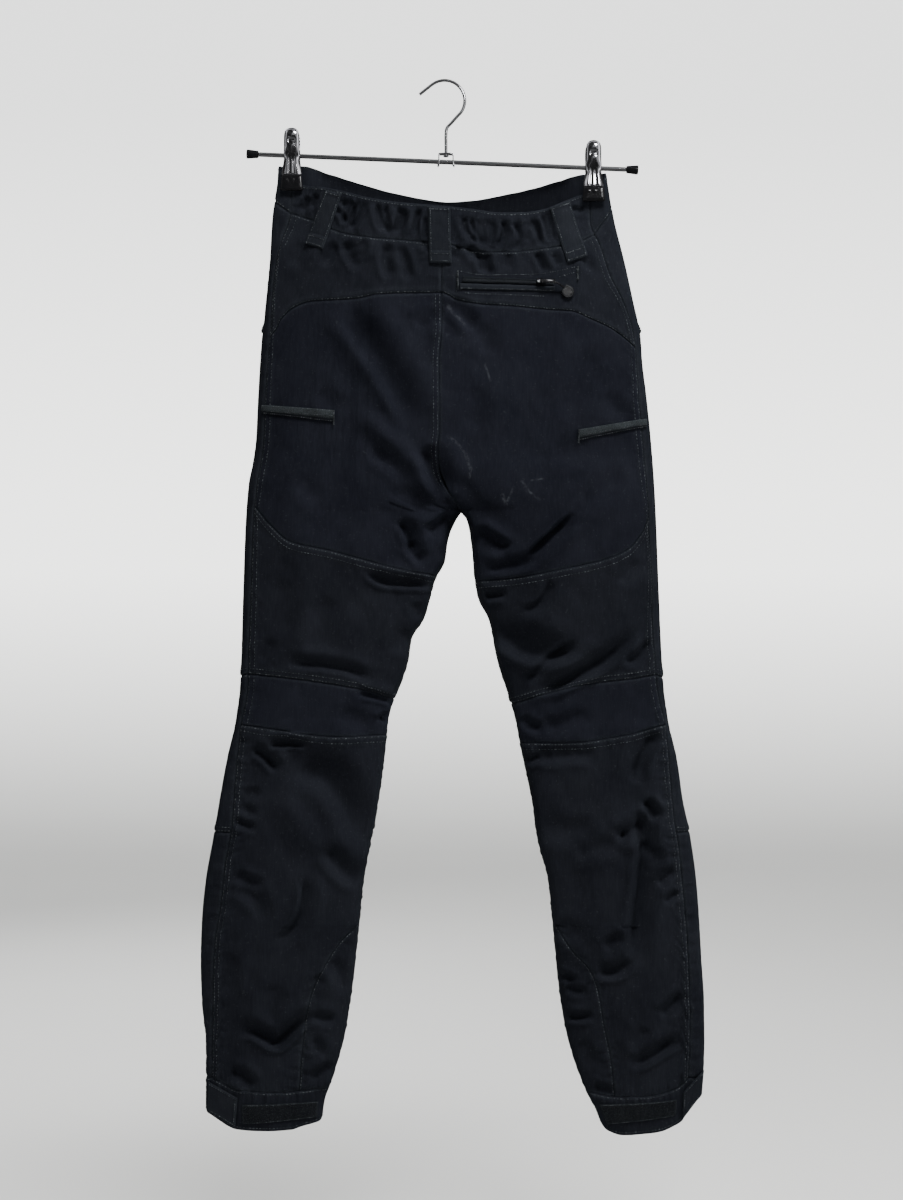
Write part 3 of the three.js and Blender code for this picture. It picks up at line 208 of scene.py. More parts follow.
# Creases: the route in x and height, width, depth inwards (a ridge is below zero) and skew
CREASES_BACK = [
    ([(-109, -126), (-105, -140), (-108, -153)], 3.2, 2.6, 0.3),
    ([(-102, -125), (-96, -137), (-103, -157)], 3.4, 3.0, -0.3),
    ([(-113, -136), (-107, -147), (-104, -155)], 2.6, 2.0, 0),
    ([(-91, -126), (-97, -146), (-104, -162)], 3.4, 3.0, 0.3),
    ([(-83, -128), (-88, -143), (-101, -161)], 3.6, 2.6, 0.2),
    ([(-70, -131), (-69, -147), (-61, -165)], 3.2, 2.8, -0.3),
    ([(-64, -132), (-64, -148), (-58, -167)], 3.0, 2.6, 0.2),
    ([(-49, -135), (-48, -148), (-56, -165)], 3.6, 2.8, 0.3),
    ([(-41, -138), (-44, -153), (-52, -167)], 3.4, 2.4, 0),
    ([(-26, -137), (-30, -150), (-31, -168)], 3.2, 2.6, -0.2),
    ([(-21, -146), (-22, -160), (-18, -174)], 2.8, 2.0, 0),
    ([(-144, -121), (-146, -129), (-153, -138)], 4.0, 2.2, 0),
    ([(-136, -119), (-139, -129), (-143, -135)], 3.4, 2.0, 0.2),
    ([(19, -145), (21, -161), (33, -177)], 3.2, 2.8, -0.3),
    ([(25, -146), (29, -162), (35, -178)], 3.2, 3.0, 0),
    ([(33, -147), (35, -164), (38, -179)], 3.0, 2.8, 0.2),
    ([(42, -147), (41, -164), (39, -179)], 3.2, 2.8, 0),
    ([(48, -148), (48, -164), (44, -180)], 3.0, 2.6, 0),
    ([(56, -149), (61, -158), (58, -170), (50, -179)], 3.4, 2.6, 0.3),
    ([(68, -151), (76, -162), (76, -174), (69, -183)], 3.6, 2.6, 0.3),
    ([(82, -150), (86, -161), (83, -175)], 4.2, 1.8, 0),
    ([(89, -147), (97, -161), (99, -177)], 3.4, 2.6, -0.2),
    ([(99, -140), (104, -155), (107, -173)], 2.8, 2.8, 0),
    ([(104, -138), (109, -153), (113, -173)], 2.6, 2.4, 0),
    ([(130, -134), (137, -137), (145, -133)], 3.0, 1.6, 0),
    ([(-105, -169), (-104, -181), (-97, -193), (-91, -203)], 6, 3.4, 0.4),
    ([(-113, -172), (-121, -184), (-129, -198)], 7, 2.4, 0),
    ([(-91, -170), (-84, -179), (-88, -192)], 6, 2.2, -0.3),
    ([(-61, -172), (-64, -189), (-61, -203), (-55, -214)], 6, 3.2, 0.3),
    ([(-49, -175), (-43, -188), (-39, -201), (-35, -216)], 5, 2.8, -0.3),
    ([(-25, -172), (-17, -179), (-15, -184)], 4, 2.0, 0),
    ([(21, -177), (28, -185), (34, -194)], 4, 2.4, 0),
    ([(34, -181), (35, -192), (37, -207)], 4, 3.4, 0.3),
    ([(44, -183), (43, -195), (46, -208)], 4, 3.0, -0.2),
    ([(15, -177), (10, -184), (9, -192)], 4, 2.0, 0),
    ([(65, -184), (63, -192), (63, -201)], 5, 1.6, 0),
    ([(91, -183), (98, -192), (102, -206)], 4, 2.6, 0.3),
    ([(111, -183), (115, -190), (117, -198)], 4, 1.8, 0),
    ([(146, -186), (149, -195), (150, -203)], 5, 1.6, 0),
    ([(-146, -172), (-155, -181), (-160, -198)], 8, 1.8, 0),
    ([(-112, -244), (-87, -272), (-59, -315), (-39, -351), (-25, -384)], 12, 4.8, 0.35),
    ([(-25, -384), (-13, -412), (1, -440)], 10, 5.0, 0.3),
    ([(-96, -346), (-66, -370), (-39, -402), (-26, -432), (-30, -452)], 9, -2.4, 0),
    ([(-121, -241), (-96, -286), (-72, -324)], 12, -1.8, 0),
    ([(-30, -264), (-19, -255), (-6, -248)], 8, 2.2, 0),
    ([(-81, -393), (-61, -396), (-44, -410), (-27, -430)], 9, 2.4, 0.2),
    ([(-49, -461), (-39, -478), (-32, -497)], 6, 3.8, 0.4),
    ([(-22, -473), (-8, -465), (7, -455)], 7, 3.6, -0.4),
    ([(-44, -424), (-30, -444), (-5, -447)], 9, 2.0, 0),
    ([(-131, -325), (-118, -342), (-109, -350)], 8, 1.4, 0),
    ([(-152, -413), (-138, -435), (-123, -441)], 10, 1.2, 0),
    ([(1, -233), (16, -249), (34, -268)], 7, 2.6, 0.2),
    ([(-5, -237), (1, -254), (5, -277)], 8, 2.0, 0),
    ([(33, -260), (43, -277), (46, -294)], 10, 1.6, 0),
    ([(158, -277), (145, -305), (127, -341), (114, -357)], 12, 2.4, 0),
    ([(29, -322), (35, -350), (24, -373)], 10, 1.6, 0),
    ([(-5, -413), (12, -444), (33, -467), (69, -492)], 9, -2.0, 0),
    ([(33, -468), (49, -480), (69, -492)], 7, 4.4, -0.4),
    ([(82, -500), (108, -475), (134, -452)], 5, 4.6, -0.6),
    ([(134, -452), (162, -432), (187, -410)], 10, 1.8, 0),
    ([(165, -328), (179, -350), (199, -350)], 9, 1.6, 0),
    ([(108, -384), (131, -393), (154, -379)], 11, 1.4, 0),
    ([(37, -511), (56, -512), (84, -507), (99, -495)], 6, 3.0, 0.3),
    ([(39, -540), (50, -539), (64, -538)], 4, 3.2, 0),
    ([(-84, -511), (-77, -522), (-62, -528), (-37, -529), (-11, -530)], 5, 4.2, 0.5),
    ([(-40, -485), (-33, -497), (-22, -507)], 6, 3.4, 0.3),
    ([(-31, -546), (-29, -557), (-25, -565)], 6, 1.8, 0),
    ([(-37, -575), (-46, -588), (-50, -603)], 9, 1.4, 0),
    ([(109, -523), (102, -541), (93, -552), (75, -556)], 5, 2.4, 0.3),
    ([(50, -564), (62, -586), (87, -600), (118, -602), (144, -587)], 12, 4.6, 0.4),
    ([(82, -630), (101, -612), (117, -601), (139, -588)], 6, 3.6, -0.3),
    ([(86, -635), (104, -638), (125, -629), (148, -617), (171, -606), (184, -592), (203, -569)],
     7.5, 4.8, 0.4),
    ([(184, -601), (194, -608), (205, -598), (213, -583)], 5, 3.0, 0),
    ([(180, -529), (192, -513), (199, -501)], 7, 1.8, 0),
    ([(-170, -610), (-130, -613), (-99, -618), (-71, -631)], 5, 3.0, 0.4),
    ([(-192, -610), (-189, -600), (-177, -585)], 7, 1.4, 0),
    ([(-121, -538), (-130, -569), (-127, -600)], 12, 1.8, 0),
    ([(-167, -520), (-164, -554), (-171, -585)], 12, 1.2, 0),
    ([(-93, -641), (-71, -646), (-54, -652)], 4, 3.0, 0.4),
    ([(-68, -671), (-64, -666), (-59, -667)], 4, 3.2, 0),
    ([(-115, -659), (-93, -668), (-74, -681)], 9, 1.8, 0),
    ([(78, -665), (87, -675), (102, -678)], 5, 2.6, 0),
    ([(99, -678), (124, -672), (149, -659)], 7, 2.0, 0),
    ([(87, -703), (106, -709), (133, -704), (161, -709)], 7, 2.0, 0.2),
    ([(82, -706), (87, -712), (99, -706)], 4, 2.4, 0),
    ([(-187, -698), (-167, -695), (-142, -696)], 4, 3.8, 0.6),
    ([(-204, -700), (-190, -706), (-174, -724)], 5, 4.0, 0.4),
    ([(-171, -727), (-143, -721), (-121, -731), (-99, -768), (-82, -812)], 15, 4.8, 0.3),
    ([(-167, -740), (-152, -780), (-121, -811)], 14, -2.0, 0),
    ([(224, -681), (209, -697), (202, -718), (200, -737)], 8, 4.4, -0.4),
    ([(207, -750), (214, -762), (222, -774)], 5, 4.4, 0),
    ([(206, -762), (206, -786), (204, -812)], 8, 3.4, 0),
    ([(176, -793), (192, -780), (211, -771)], 6, 3.0, 0.2),
    ([(99, -777), (124, -786), (158, -780)], 10, 1.6, 0),
    ([(-211, -749), (-202, -746), (-193, -740)], 5, 1.8, 0),
    ([(-220, -771), (-208, -779), (-195, -780)], 4, 2.4, 0),
    ([(-217, -755), (-205, -762), (-198, -771)], 5, 1.6, 0),
    ([(-126, -800), (-110, -826), (-85, -841)], 9, 3.0, 0.3),
    ([(-149, -829), (-147, -849), (-151, -872), (-164, -891), (-179, -898)], 6, 3.4, 0.5),
    ([(-220, -829), (-200, -837), (-186, -840)], 5, 2.4, 0),
    ([(-218, -842), (-199, -851), (-191, -866), (-193, -879)], 7, 2.2, 0.2),
    ([(-218, -996), (-203, -992), (-191, -999), (-174, -1009), (-160, -995), (-150, -984),
      (-133, -973)], 6.5, 4.8, 0.5),
    ([(-226, -1036), (-211, -1037), (-198, -1052)], 6, 3.2, 0),
    ([(-141, -1044), (-127, -1034), (-117, -1026)], 6, 3.0, 0),
    ([(-139, -975), (-126, -979), (-113, -980)], 5, 2.4, 0),
    ([(-128, -930), (-139, -951), (-136, -965)], 7, 1.8, 0),
    ([(-222, -908), (-226, -937), (-230, -958)], 8, 1.6, 0),
    ([(-180, -940), (-179, -965), (-189, -987)], 10, 1.4, 0),
    ([(-118, -915), (-107, -940), (-110, -958)], 7, 1.8, 0),
    ([(-139, -1000), (-133, -1005), (-131, -1019)], 5, 1.6, 0),
    ([(211, -772), (206, -811), (201, -854), (196, -890), (190, -928)], 9, 4.8, 0.3),
    ([(154, -930), (168, -932), (183, -929), (193, -915)], 6, 3.6, 0.3),
    ([(176, -791), (194, -789), (211, -778)], 6, 2.8, 0),
    ([(129, -806), (155, -803), (180, -793)], 8, 1.6, 0),
    ([(164, -908), (173, -897), (188, -894)], 6, 2.2, 0),
    ([(220, -842), (227, -829), (239, -824)], 5, 2.8, 0),
    ([(226, -858), (234, -851), (242, -849)], 4, 2.2, 0),
    ([(116, -934), (130, -938), (134, -943)], 4, 2.6, 0),
    ([(124, -948), (137, -951), (148, -951)], 4, 2.0, 0),
    ([(123, -977), (137, -980), (155, -975)], 4, 2.8, 0.2),
    ([(190, -1031), (209, -1021), (226, -1011), (247, -1000)], 6, 4.0, 0.4),
    ([(222, -978), (234, -965), (249, -953)], 6, 2.8, 0),
    ([(209, -987), (201, -1001), (194, -1016)], 8, 1.6, 0),
    ([(151, -1051), (166, -1054), (180, -1059)], 5, 2.2, 0),
    ([(140, -1001), (148, -1019), (158, -1030)], 7, 1.4, 0),
    ([(115, -879), (130, -890), (148, -890)], 9, 1.6, 0),
    ([(216, -801), (219, -811), (225, -818)], 6, 1.6, 0),
]
CREASES_FRONT = [
    ([(-108, -262), (-60, -322), (-38, -352), (-15, -395)], 13, 4.0, 0.3),
    ([(102, -262), (60, -320), (40, -345), (15, -390)], 13, 4.5, -0.3),
    ([(-60, -215), (-74, -250), (-96, -286)], 9, 2.4, 0),
    ([(58, -206), (70, -240), (98, -270)], 9, 2.4, 0.2),
    ([(-160, -448), (-120, -468), (-80, -478), (-20, -470)], 9, 3.5, 0.4),
    ([(36, -474), (70, -490), (110, -490), (172, -460)], 9, 4.0, -0.4),
    ([(-30, -500), (-60, -520), (-110, -522)], 8, 2.6, 0),
    ([(50, -515), (84, -538), (130, -540)], 8, 2.6, 0),
    ([(-190, -560), (-150, -580), (-96, -575)], 11, 2.0, 0),
    ([(90, -585), (140, -600), (205, -580)], 11, 2.2, 0),
    ([(-198, -636), (-150, -656), (-110, -654), (-76, -642)], 8, 3.5, 0.4),
    ([(86, -646), (130, -664), (170, -660), (216, -640)], 8, 4.0, 0.4),
    ([(-205, -668), (-160, -684), (-120, -682)], 6, 2.8, -0.3),
    ([(110, -690), (150, -700), (196, -688)], 6, 2.8, -0.3),
    ([(-216, -720), (-184, -745), (-150, -752)], 8, 2.4, 0),
    ([(108, -728), (150, -752), (212, -744)], 9, 2.4, 0),
    ([(-226, -800), (-190, -826), (-160, -856), (-130, -905)], 11, 4.5, 0.3),
    ([(120, -796), (160, -834), (190, -870), (214, -935)], 11, 4.5, -0.3),
    ([(-214, -870), (-196, -905), (-204, -950)], 9, 2.6, 0),
    ([(236, -850), (244, -892), (236, -940)], 9, 2.6, 0),
    ([(-234, -992), (-206, -1008), (-176, -1012), (-138, -985)], 7, 3.4, 0.4),
    ([(158, -1003), (190, -1018), (220, -1014), (252, -990)], 7, 3.4, 0.4),
    ([(-150, -960), (-130, -940), (-112, -936)], 6, 2.2, 0),
    ([(140, -968), (160, -950), (186, -946)], 6, 2.2, 0),
    ([(-6, -215), (10, -262), (4, -318)], 9, 1.8, 0),
]


# Camera, light and floor
CAMERA = {"place": (0.0058, -2.0, -0.5444), "lens": 57.14}
FLOOR_Z = -1.30

# How far behind the part the floor starts to curve up, and the radius of its curve, in metres
SWEEP_START = 3.4
SWEEP_RADIUS = 1.4


def aimed(place, target):
    return (Vector(target) - Vector(place)).to_track_quat("-Z", "Y").to_euler()


def build_camera():
    bpy.ops.object.camera_add(location=CAMERA["place"], rotation=(math.pi / 2, 0, 0))
    camera = bpy.context.object
    camera.name = "camera"
    camera.data.lens = CAMERA["lens"]
    camera.data.clip_start = 0.05
    bpy.context.scene.camera = camera


def soft_light(name, place, target, size, power, colour=(1, 1, 1)):
    bpy.ops.object.light_add(type="AREA", location=place, rotation=aimed(place, target))
    light = bpy.context.object
    light.name = name
    light.data.shape = "RECTANGLE"
    light.data.size, light.data.size_y = size
    light.data.energy = power
    light.data.color = colour
    light.visible_glossy = False


def smooth_step(low, high, value):
    f = np.clip((value - low) / (high - low), 0, 1)
    return f * f * (3 - 2 * f)


def mix(a, b, f):
    return a + (b - a) * f


def curve(rows, column=1):
    """A curve through a table's rows that never overshoots them"""
    rows = sorted(rows)
    xs = np.array([row[0] for row in rows], float)
    ys = np.array([row[column] for row in rows], float)
    slopes = np.diff(ys) / np.diff(xs)
    before, after = slopes[:-1], slopes[1:]
    both = np.where(before * after > 0, before + after, 1.0)
    inner = np.where(before * after > 0, 2 * before * after / both, 0.0)
    tangents = np.concatenate([slopes[:1], inner, slopes[-1:]])

    def at(x):
        x = np.clip(x, xs[0], xs[-1])
        i = np.clip(np.searchsorted(xs, x) - 1, 0, len(xs) - 2)
        step = xs[i + 1] - xs[i]
        f = (x - xs[i]) / step
        bend = step * f * (1 - f) * ((1 - f) * tangents[i] - f * tangents[i + 1])
        return mix(ys[i], ys[i + 1], f * f * (3 - 2 * f)) + bend

    return at


HALVES = ("left", "right")
centre_at = curve(CENTRE)
outer_at = {half: curve(OUTER[half]) for half in HALVES}
inseam_at = {half: curve(INSEAM[half]) for half in HALVES}
side_seam_at = {half: curve(SIDE_SEAM[half]) for half in HALVES}
ankle_seam_at = {half: curve(ANKLE_SEAM[half]) for half in HALVES}
depth_at = [curve(DEPTH, column) for column in (1, 2, 3, 4)]


def sweep_at(z):
    """How far round the section of one half runs: a quarter turn in the seat, a half turn in the leg"""
    return np.arccos(-np.clip((SEAT_CURVE_TOP_Z - z) / (SEAT_CURVE_TOP_Z - FORK_Z), 0, 1))


def inner_at(half, z):
    return np.where(z > FORK_Z, centre_at(z), inseam_at[half](z))


def pinch_at(half, x, z):
    away = np.abs(x - CLIP_X[half]) / 24
    return 0.96 * np.exp(-away ** 4) * smooth_step(-185, -130, z)


def form_point(half, turn, z):
    """A place on the plain form: turn is 0 at the outer edge, 1 at the back's inner end, -1 at the front's"""
    turn, z = np.broadcast_arrays(np.asarray(turn, float), np.asarray(z, float))
    back, front, fold, round_ = (at(z) for at in depth_at)
    sweep = sweep_at(z)
    angle = sweep * np.abs(turn)
    outer = outer_at[half](z)
    x = mix(outer, inner_at(half, z), (1 - np.cos(angle)) / (1 - np.cos(sweep)))
    outer_turn = np.sin(np.minimum(EDGE_TURN * angle, np.pi / 2))
    inner_turn = np.sin(np.minimum(EDGE_TURN * (np.pi - angle), np.pi / 2))
    depth = np.where(turn >= 0, back, front) - fold
    belly = depth * np.maximum(np.sin(angle), 0) ** round_ * (1 - pinch_at(half, x, z))
    rise = fold * outer_turn * np.maximum(inner_turn, 0) + belly
    return np.stack([x, np.where(turn >= 0, -rise, rise), z], -1)


def form_normal(half, turn, z):
    ahead, behind = (form_point(half, np.clip(turn + step, -1, 1), z) for step in (0.01, -0.01))
    up = form_point(half, turn, z + 1) - form_point(half, turn, z - 1)
    normal = np.cross(ahead - behind, up)
    normal /= np.linalg.norm(normal, axis=-1, keepdims=True)
    return normal if half == "left" else -normal


def turn_of(half, x, z):
    outer, sweep = outer_at[half](z), sweep_at(z)
    across = np.clip((x - outer) / (inner_at(half, z) - outer), 0, 1)
    return np.arccos(1 - across * (1 - np.cos(sweep))) / sweep


def rounded(route):
    """A route with its corners cut twice, so that it runs as a soft line"""
    line = np.array(route, float)
    for _ in range(2):
        cut = np.stack([mix(line[:-1], line[1:], 0.25), mix(line[:-1], line[1:], 0.75)], 1).reshape(-1, 2)
        line = np.concatenate([line[:1], cut, line[-1:]])
    return line


def crease_depth(creases, x, z):
    """How far all creases press a place in. A crease is a trough with a low ridge on each side, which fades
    out at both ends, and its skew makes one bank steeper."""
    total = np.zeros(x.shape)
    for route, width, depth, skew in creases:
        line = rounded(route)
        reach = 3.6 * width
        low, high = line.min(0) - reach, line.max(0) + reach
        near = (x > low[0]) & (x < high[0]) & (z > low[1]) & (z < high[1])
        if not near.any():
            continue
        px, pz = x[near], z[near]
        nearest = np.full(px.shape, 1e9)
        bank = np.ones(px.shape)
        along = np.zeros(px.shape)
        lengths = np.hypot(*np.diff(line, axis=0).T)
        runs = np.concatenate([[0], np.cumsum(lengths)])
        for a, b, run, length in zip(line[:-1], line[1:], runs, lengths):
            dx, dz = b - a
            f = np.clip(((px - a[0]) * dx + (pz - a[1]) * dz) / length ** 2, 0, 1)
            ox, oz = px - a[0] - f * dx, pz - a[1] - f * dz
            away = np.hypot(ox, oz)
            closer = away < nearest
            nearest = np.where(closer, away, nearest)
            bank = np.where(closer, np.sign(dx * oz - dz * ox), bank)
            along = np.where(closer, (run + f * length) / runs[-1], along)
        across = nearest / (width * (1 + skew * bank))
        ends = smooth_step(0, 0.24, along) * smooth_step(0, 0.3, 1 - along)
        total[near] += depth * ends * (np.exp(-across ** 2) - 0.36 * np.exp(-((across - 1.9) / 0.8) ** 2))
    return total


def ripple(x, z, length, seed):
    """Gentle unevenness of about one unit, from crossing waves"""
    chance = np.random.default_rng(seed)
    total = np.zeros(np.broadcast(x, z).shape)
    for _ in range(8):
        heading = chance.uniform(0, math.pi)
        wave = length * chance.uniform(0.6, 1.8)
        angle = (x * math.cos(heading) + z * math.sin(heading)) * 2 * math.pi / wave
        total += np.sin(angle + chance.uniform(0, 6.28))
    return total / 2.8


def relief(turn, x, z):
    """How far the cloth stands out from the plain form, from its creases and its unevenness"""
    angle = sweep_at(z) * np.abs(turn)
    fade = smooth_step(0.04, 0.34, angle) * smooth_step(0.02, 0.4, np.pi - angle)
    swell = SIDE_SWELL * (1 - smooth_step(0.1, 0.9, angle) * smooth_step(0.1, 0.9, np.pi - angle))
    back = crease_depth(CREASES_BACK, x, z)
    front = crease_depth(CREASES_FRONT, x, z)
    uneven = 0.7 * ripple(x, 0.6 * z, 70, 3) + 0.28 * ripple(x, 0.5 * z, 22, 5)
    calm = smooth_step(-150, -215, z)
    return swell + fade * (UNEVEN * uneven * calm - CREASE_DEPTH * np.where(turn > 0, back, front))


def cloth_point(half, turn, z, lift=0.0):
    point, normal = form_point(half, turn, z), form_normal(half, turn, z)
    return point + normal * (relief(turn, point[..., 0], z) + lift)[..., None], normal


# Seams that run round one half, from the waist to the hem
waist_back_at = curve(WAIST_SEAM_BACK)
band_top_back_at = curve(BAND_TOP_BACK)
band_top_front_at = curve(BAND_TOP_FRONT)
yoke_seam_at = curve(YOKE_SEAM)


def side_turn(half, z):
    return turn_of(half, side_seam_at[half](z), z)


def wrapped(half, turn, z, x, front_at, back_at):
    return mix(front_at(x), back_at(x), np.clip(turn / side_turn(half, z), 0, 1))


def round_row(half, back_at, inner_z):
    """A row known on the back by x, carried round the front in a straight run"""
    z_side = back_at(side_seam_at[half](-300))
    for _ in range(12):
        z_side = back_at(side_seam_at[half](z_side))
    side = side_turn(half, z_side)

    def row_at(turn, z, x):
        return np.where(turn >= side, back_at(x), mix(z_side, inner_z, (side - turn) / (side + 1)))

    return row_at


def level_row(half, z_side, z_inner):
    start = side_seam_at[half](z_side)
    end = inner_at(half, np.array(float(z_inner)))
    if z_inner == FORK_Z:
        end = centre_at(FORK_Z)

    def back_at(x):
        return mix(z_side, z_inner, np.clip((x - start) / (end - start), 0, 1))

    return round_row(half, back_at, z_inner)


def seam_row(half, table, z):
    at = curve(table)
    return round_row(half, at, at(inseam_at[half](z)))


def rows_of(half):
    hem_back_at, hem_front_at = curve(HEM_BOTTOM[half]), curve(HEM_BOTTOM_FRONT[half])
    return {
        "band_top": lambda turn, z, x: wrapped(half, turn, z, x, band_top_front_at, band_top_back_at),
        "waist": lambda turn, z, x: wrapped(
            half, turn, z, x, lambda at: band_top_front_at(at) - WAIST_FRONT_DROP, waist_back_at),
        "yoke": round_row(half, yoke_seam_at, yoke_seam_at(CENTRE_X)),
        "fork": level_row(half, FORK_SIDE_Z, FORK_Z),
        "thigh": seam_row(half, THIGH_SEAM[half], -520),
        "knee_top": seam_row(half, KNEE_TOP[half], -648),
        "knee_bottom": seam_row(half, KNEE_BOTTOM[half], -688),
        "shin": level_row(half, SHIN_SEAM_Z, SHIN_SEAM_Z),
        "ankle": level_row(half, ANKLE_ROW_Z, ANKLE_ROW_Z),
        "hem_top": seam_row(half, HEM_TOP[half], -1053),
        "hem_bottom": lambda turn, z, x: np.where(turn >= 0, hem_back_at(x), hem_front_at(x)),
    }


ROWS = {half: rows_of(half) for half in HALVES}


def solve_places(half, upper, lower, f, turn_at):
    """Where rows between two key rows meet the columns: their turns and heights"""
    rows = ROWS[half]
    z = np.full(np.broadcast(f, turn_at(np.array(-300.0))).shape, -300.0)
    turn = turn_at(z)
    for _ in range(30):
        x = form_point(half, turn, z)[..., 0]
        z = mix(z, mix(rows[upper](turn, z, x), rows[lower](turn, z, x), f), 0.7)
        turn = turn_at(z)
    return turn, z


def spaced(length, step, first=True, last=True):
    """Fractions of a length at even steps, closer together at the ends that carry a seam"""
    close = np.array([0.7, 1.5, 2.5, 3.8])
    close = close[close < 0.3 * length]
    start = close if first else np.array([])
    end = close if last else np.array([])
    low = start[-1] if len(start) else 0.0
    high = length - (end[-1] if len(end) else 0.0)
    inner = np.linspace(low, high, max(2, round((high - low) / step) + 1))[1:-1]
    ends = np.concatenate([[0.0], start, inner, length - end[::-1], [length]])
    return ends / length


def back_columns(half, step):
    return spaced(190, step), lambda u: lambda z: mix(side_turn(half, z), 1, u)


def front_columns(half, step):
    return spaced(205, step), lambda u: lambda z: mix(side_turn(half, z), -1, u)


def ankle_turn(half, z):
    inset = -ANKLE_START if half == "left" else ANKLE_START
    x, limit = ankle_seam_at[half](z), inseam_at[half](z) + inset
    return turn_of(half, np.minimum(x, limit) if half == "left" else np.maximum(x, limit), z)


def calf_columns(half, step):
    return spaced(190, step), lambda u: lambda z: mix(side_turn(half, z), ankle_turn(half, z), u)


def ankle_columns(half, step):
    return spaced(62, step), lambda u: lambda z: mix(ankle_turn(half, z), 1, u)


def cloth_lines(half, keys, columns, step, drop=None):
    """Cloth between key rows, one after another. columns is one set of columns for each pair of rows. drop
    sets the number of lines where pieces have to share them."""
    turns, heights = [], []
    for number, (upper, lower) in enumerate(zip(keys, keys[1:])):
        u, turn_at = columns[number]
        middle = [solve_places(half, upper, lower, f, turn_at(np.array([0.5])))[1][0] for f in (0.0, 1.0)]
        f = spaced(drop or abs(middle[1] - middle[0]), step, number == 0, number == len(keys) - 2)[:, None]
        turn, z = solve_places(half, upper, lower, f, turn_at(u[None, :]))
        turns.append(turn if number == 0 else turn[1:])
        heights.append(z if number == 0 else z[1:])
    turn, z = np.concatenate(turns), np.concatenate(heights)
    return cloth_point(half, turn, z)


def runs_along(points, axis):
    """Distance along the cloth from its first line, down the columns (0) or across the rows (1)"""
    steps = np.linalg.norm(np.diff(points, axis=axis), axis=-1)
    start = np.zeros_like(points[:1, :, 0] if axis == 0 else points[:, :1, 0])
    return np.concatenate([start, np.cumsum(steps, axis=axis)], axis)


def seam_shape(points, normals, edges):
    """Sinks the cloth into its seams, raises the turned-in cloth beside them and puckers it along them.
    edges names a side of the piece and gives (sink, raised width, pucker)."""
    down, across = runs_along(points, 0), runs_along(points, 1)
    away = {
        "top": (down, across), "bottom": (down[-1:] - down, across),
        "outer": (across, down), "inner": (across[:, -1:] - across, down),
    }
    total = np.zeros(down.shape)
    # The second mask paints a highlight: paler cloth just beside each seam and along the edge of the
    # turned-in cloth
    wear_and_sheen = np.zeros(down.shape)
    for number, (edge, (sink, raised, pucker)) in enumerate(edges.items()):
        far, run = away[edge]
        total -= sink * np.exp(-(far / 1.5) ** 2)
        wear_and_sheen = np.maximum(wear_and_sheen, np.exp(-((far - 1.6) / 1.3) ** 2) * (sink > 0))
        if raised:
            total += 0.45 * smooth_step(0.4, 2.0, far) * smooth_step(raised + 2.2, raised, far)
            wear_and_sheen = np.maximum(wear_and_sheen, 0.6 * np.exp(-((far - raised) / 1.2) ** 2))
        if pucker:
            beat = ripple(run, 0 * run, 8.5, 11 + number) + 0.6 * ripple(run, 0 * run, 5.0, 17 + number)
            total += pucker * beat * (far / 4.5) * np.exp(1 - far / 4.5)
    return points + normals * total[..., None], wear_and_sheen


def grid_sheet(name, points, wear_and_sheen=None, ring=False):
    """A grid primitive shaped to the points, with a UV map in metres along the cloth"""
    rows, columns = points.shape[:2]
    bpy.ops.mesh.primitive_grid_add(x_subdivisions=columns - 1, y_subdivisions=rows - 1, size=2)
    piece = bpy.context.object
    piece.name = name
    start = np.empty(rows * columns * 3)
    piece.data.vertices.foreach_get("co", start)
    start = start.reshape(-1, 3)
    i = np.rint((start[:, 0] + 1) / 2 * (columns - 1)).astype(int)
    j = np.rint((start[:, 1] + 1) / 2 * (rows - 1)).astype(int)
    piece.data.vertices.foreach_set("co", (points[j, i] * MM).ravel())
    if wear_and_sheen is not None:
        mark = piece.data.attributes.new("wear_and_sheen", "FLOAT", "POINT")
        mark.data.foreach_set("value", wear_and_sheen[j, i].astype(np.float32))
    down, across = runs_along(points, 0), runs_along(points, 1)
    corners = np.empty(len(piece.data.loops), int)
    piece.data.loops.foreach_get("vertex_index", corners)
    places = np.stack([across[j, i], down[j, i]], -1)[corners] * MM
    piece.data.uv_layers[0].data.foreach_set("uv", places.ravel())
    if ring:
        bpy.ops.object.mode_set(mode="EDIT")
        bpy.ops.mesh.select_all(action="SELECT")
        bpy.ops.mesh.remove_doubles(threshold=1e-6)
        bpy.ops.object.mode_set(mode="OBJECT")
    bpy.ops.object.shade_smooth()
    return piece


def applied(piece, kind, **settings):
    bpy.context.view_layer.objects.active = piece
    modifier = piece.modifiers.new(kind.lower(), kind)
    for key, value in settings.items():
        setattr(modifier, key, value)
    bpy.ops.object.modifier_apply(modifier=modifier.name)
    return piece


def outward(points, normals):
    """Whether the faces of a grid through these points look outwards, as the normals do"""
    across, down = np.diff(points, axis=1)[:-1], np.diff(points, axis=0)[:, :-1]
    facing = (np.cross(across, down) * normals[:-1, :-1]).sum()
    return facing > 0


def dress(piece, body, finish, nodes):
    piece.data.materials.clear()
    piece.data.materials.append(finish)
    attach(piece, body)
    if nodes:
        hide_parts(*nodes)
    bpy.ops.object.select_all(action="DESELECT")
    return piece


def make_sheet(name, node, points, normals, wall, finish, wear_and_sheen=None, ring=False):
    """A sewn piece: its outer skin from the points and its wall inwards. Its cut is its size laid flat."""
    if not outward(points, normals):
        points, normals = points[::-1], normals[::-1]
        wear_and_sheen = None if wear_and_sheen is None else wear_and_sheen[::-1]
    piece = grid_sheet(name, points, wear_and_sheen, ring)
    applied(piece, "SOLIDIFY", thickness=wall * MM, offset=-1, use_even_offset=False)
    dress(piece, "garment", finish, [node] if node else [])
    return piece


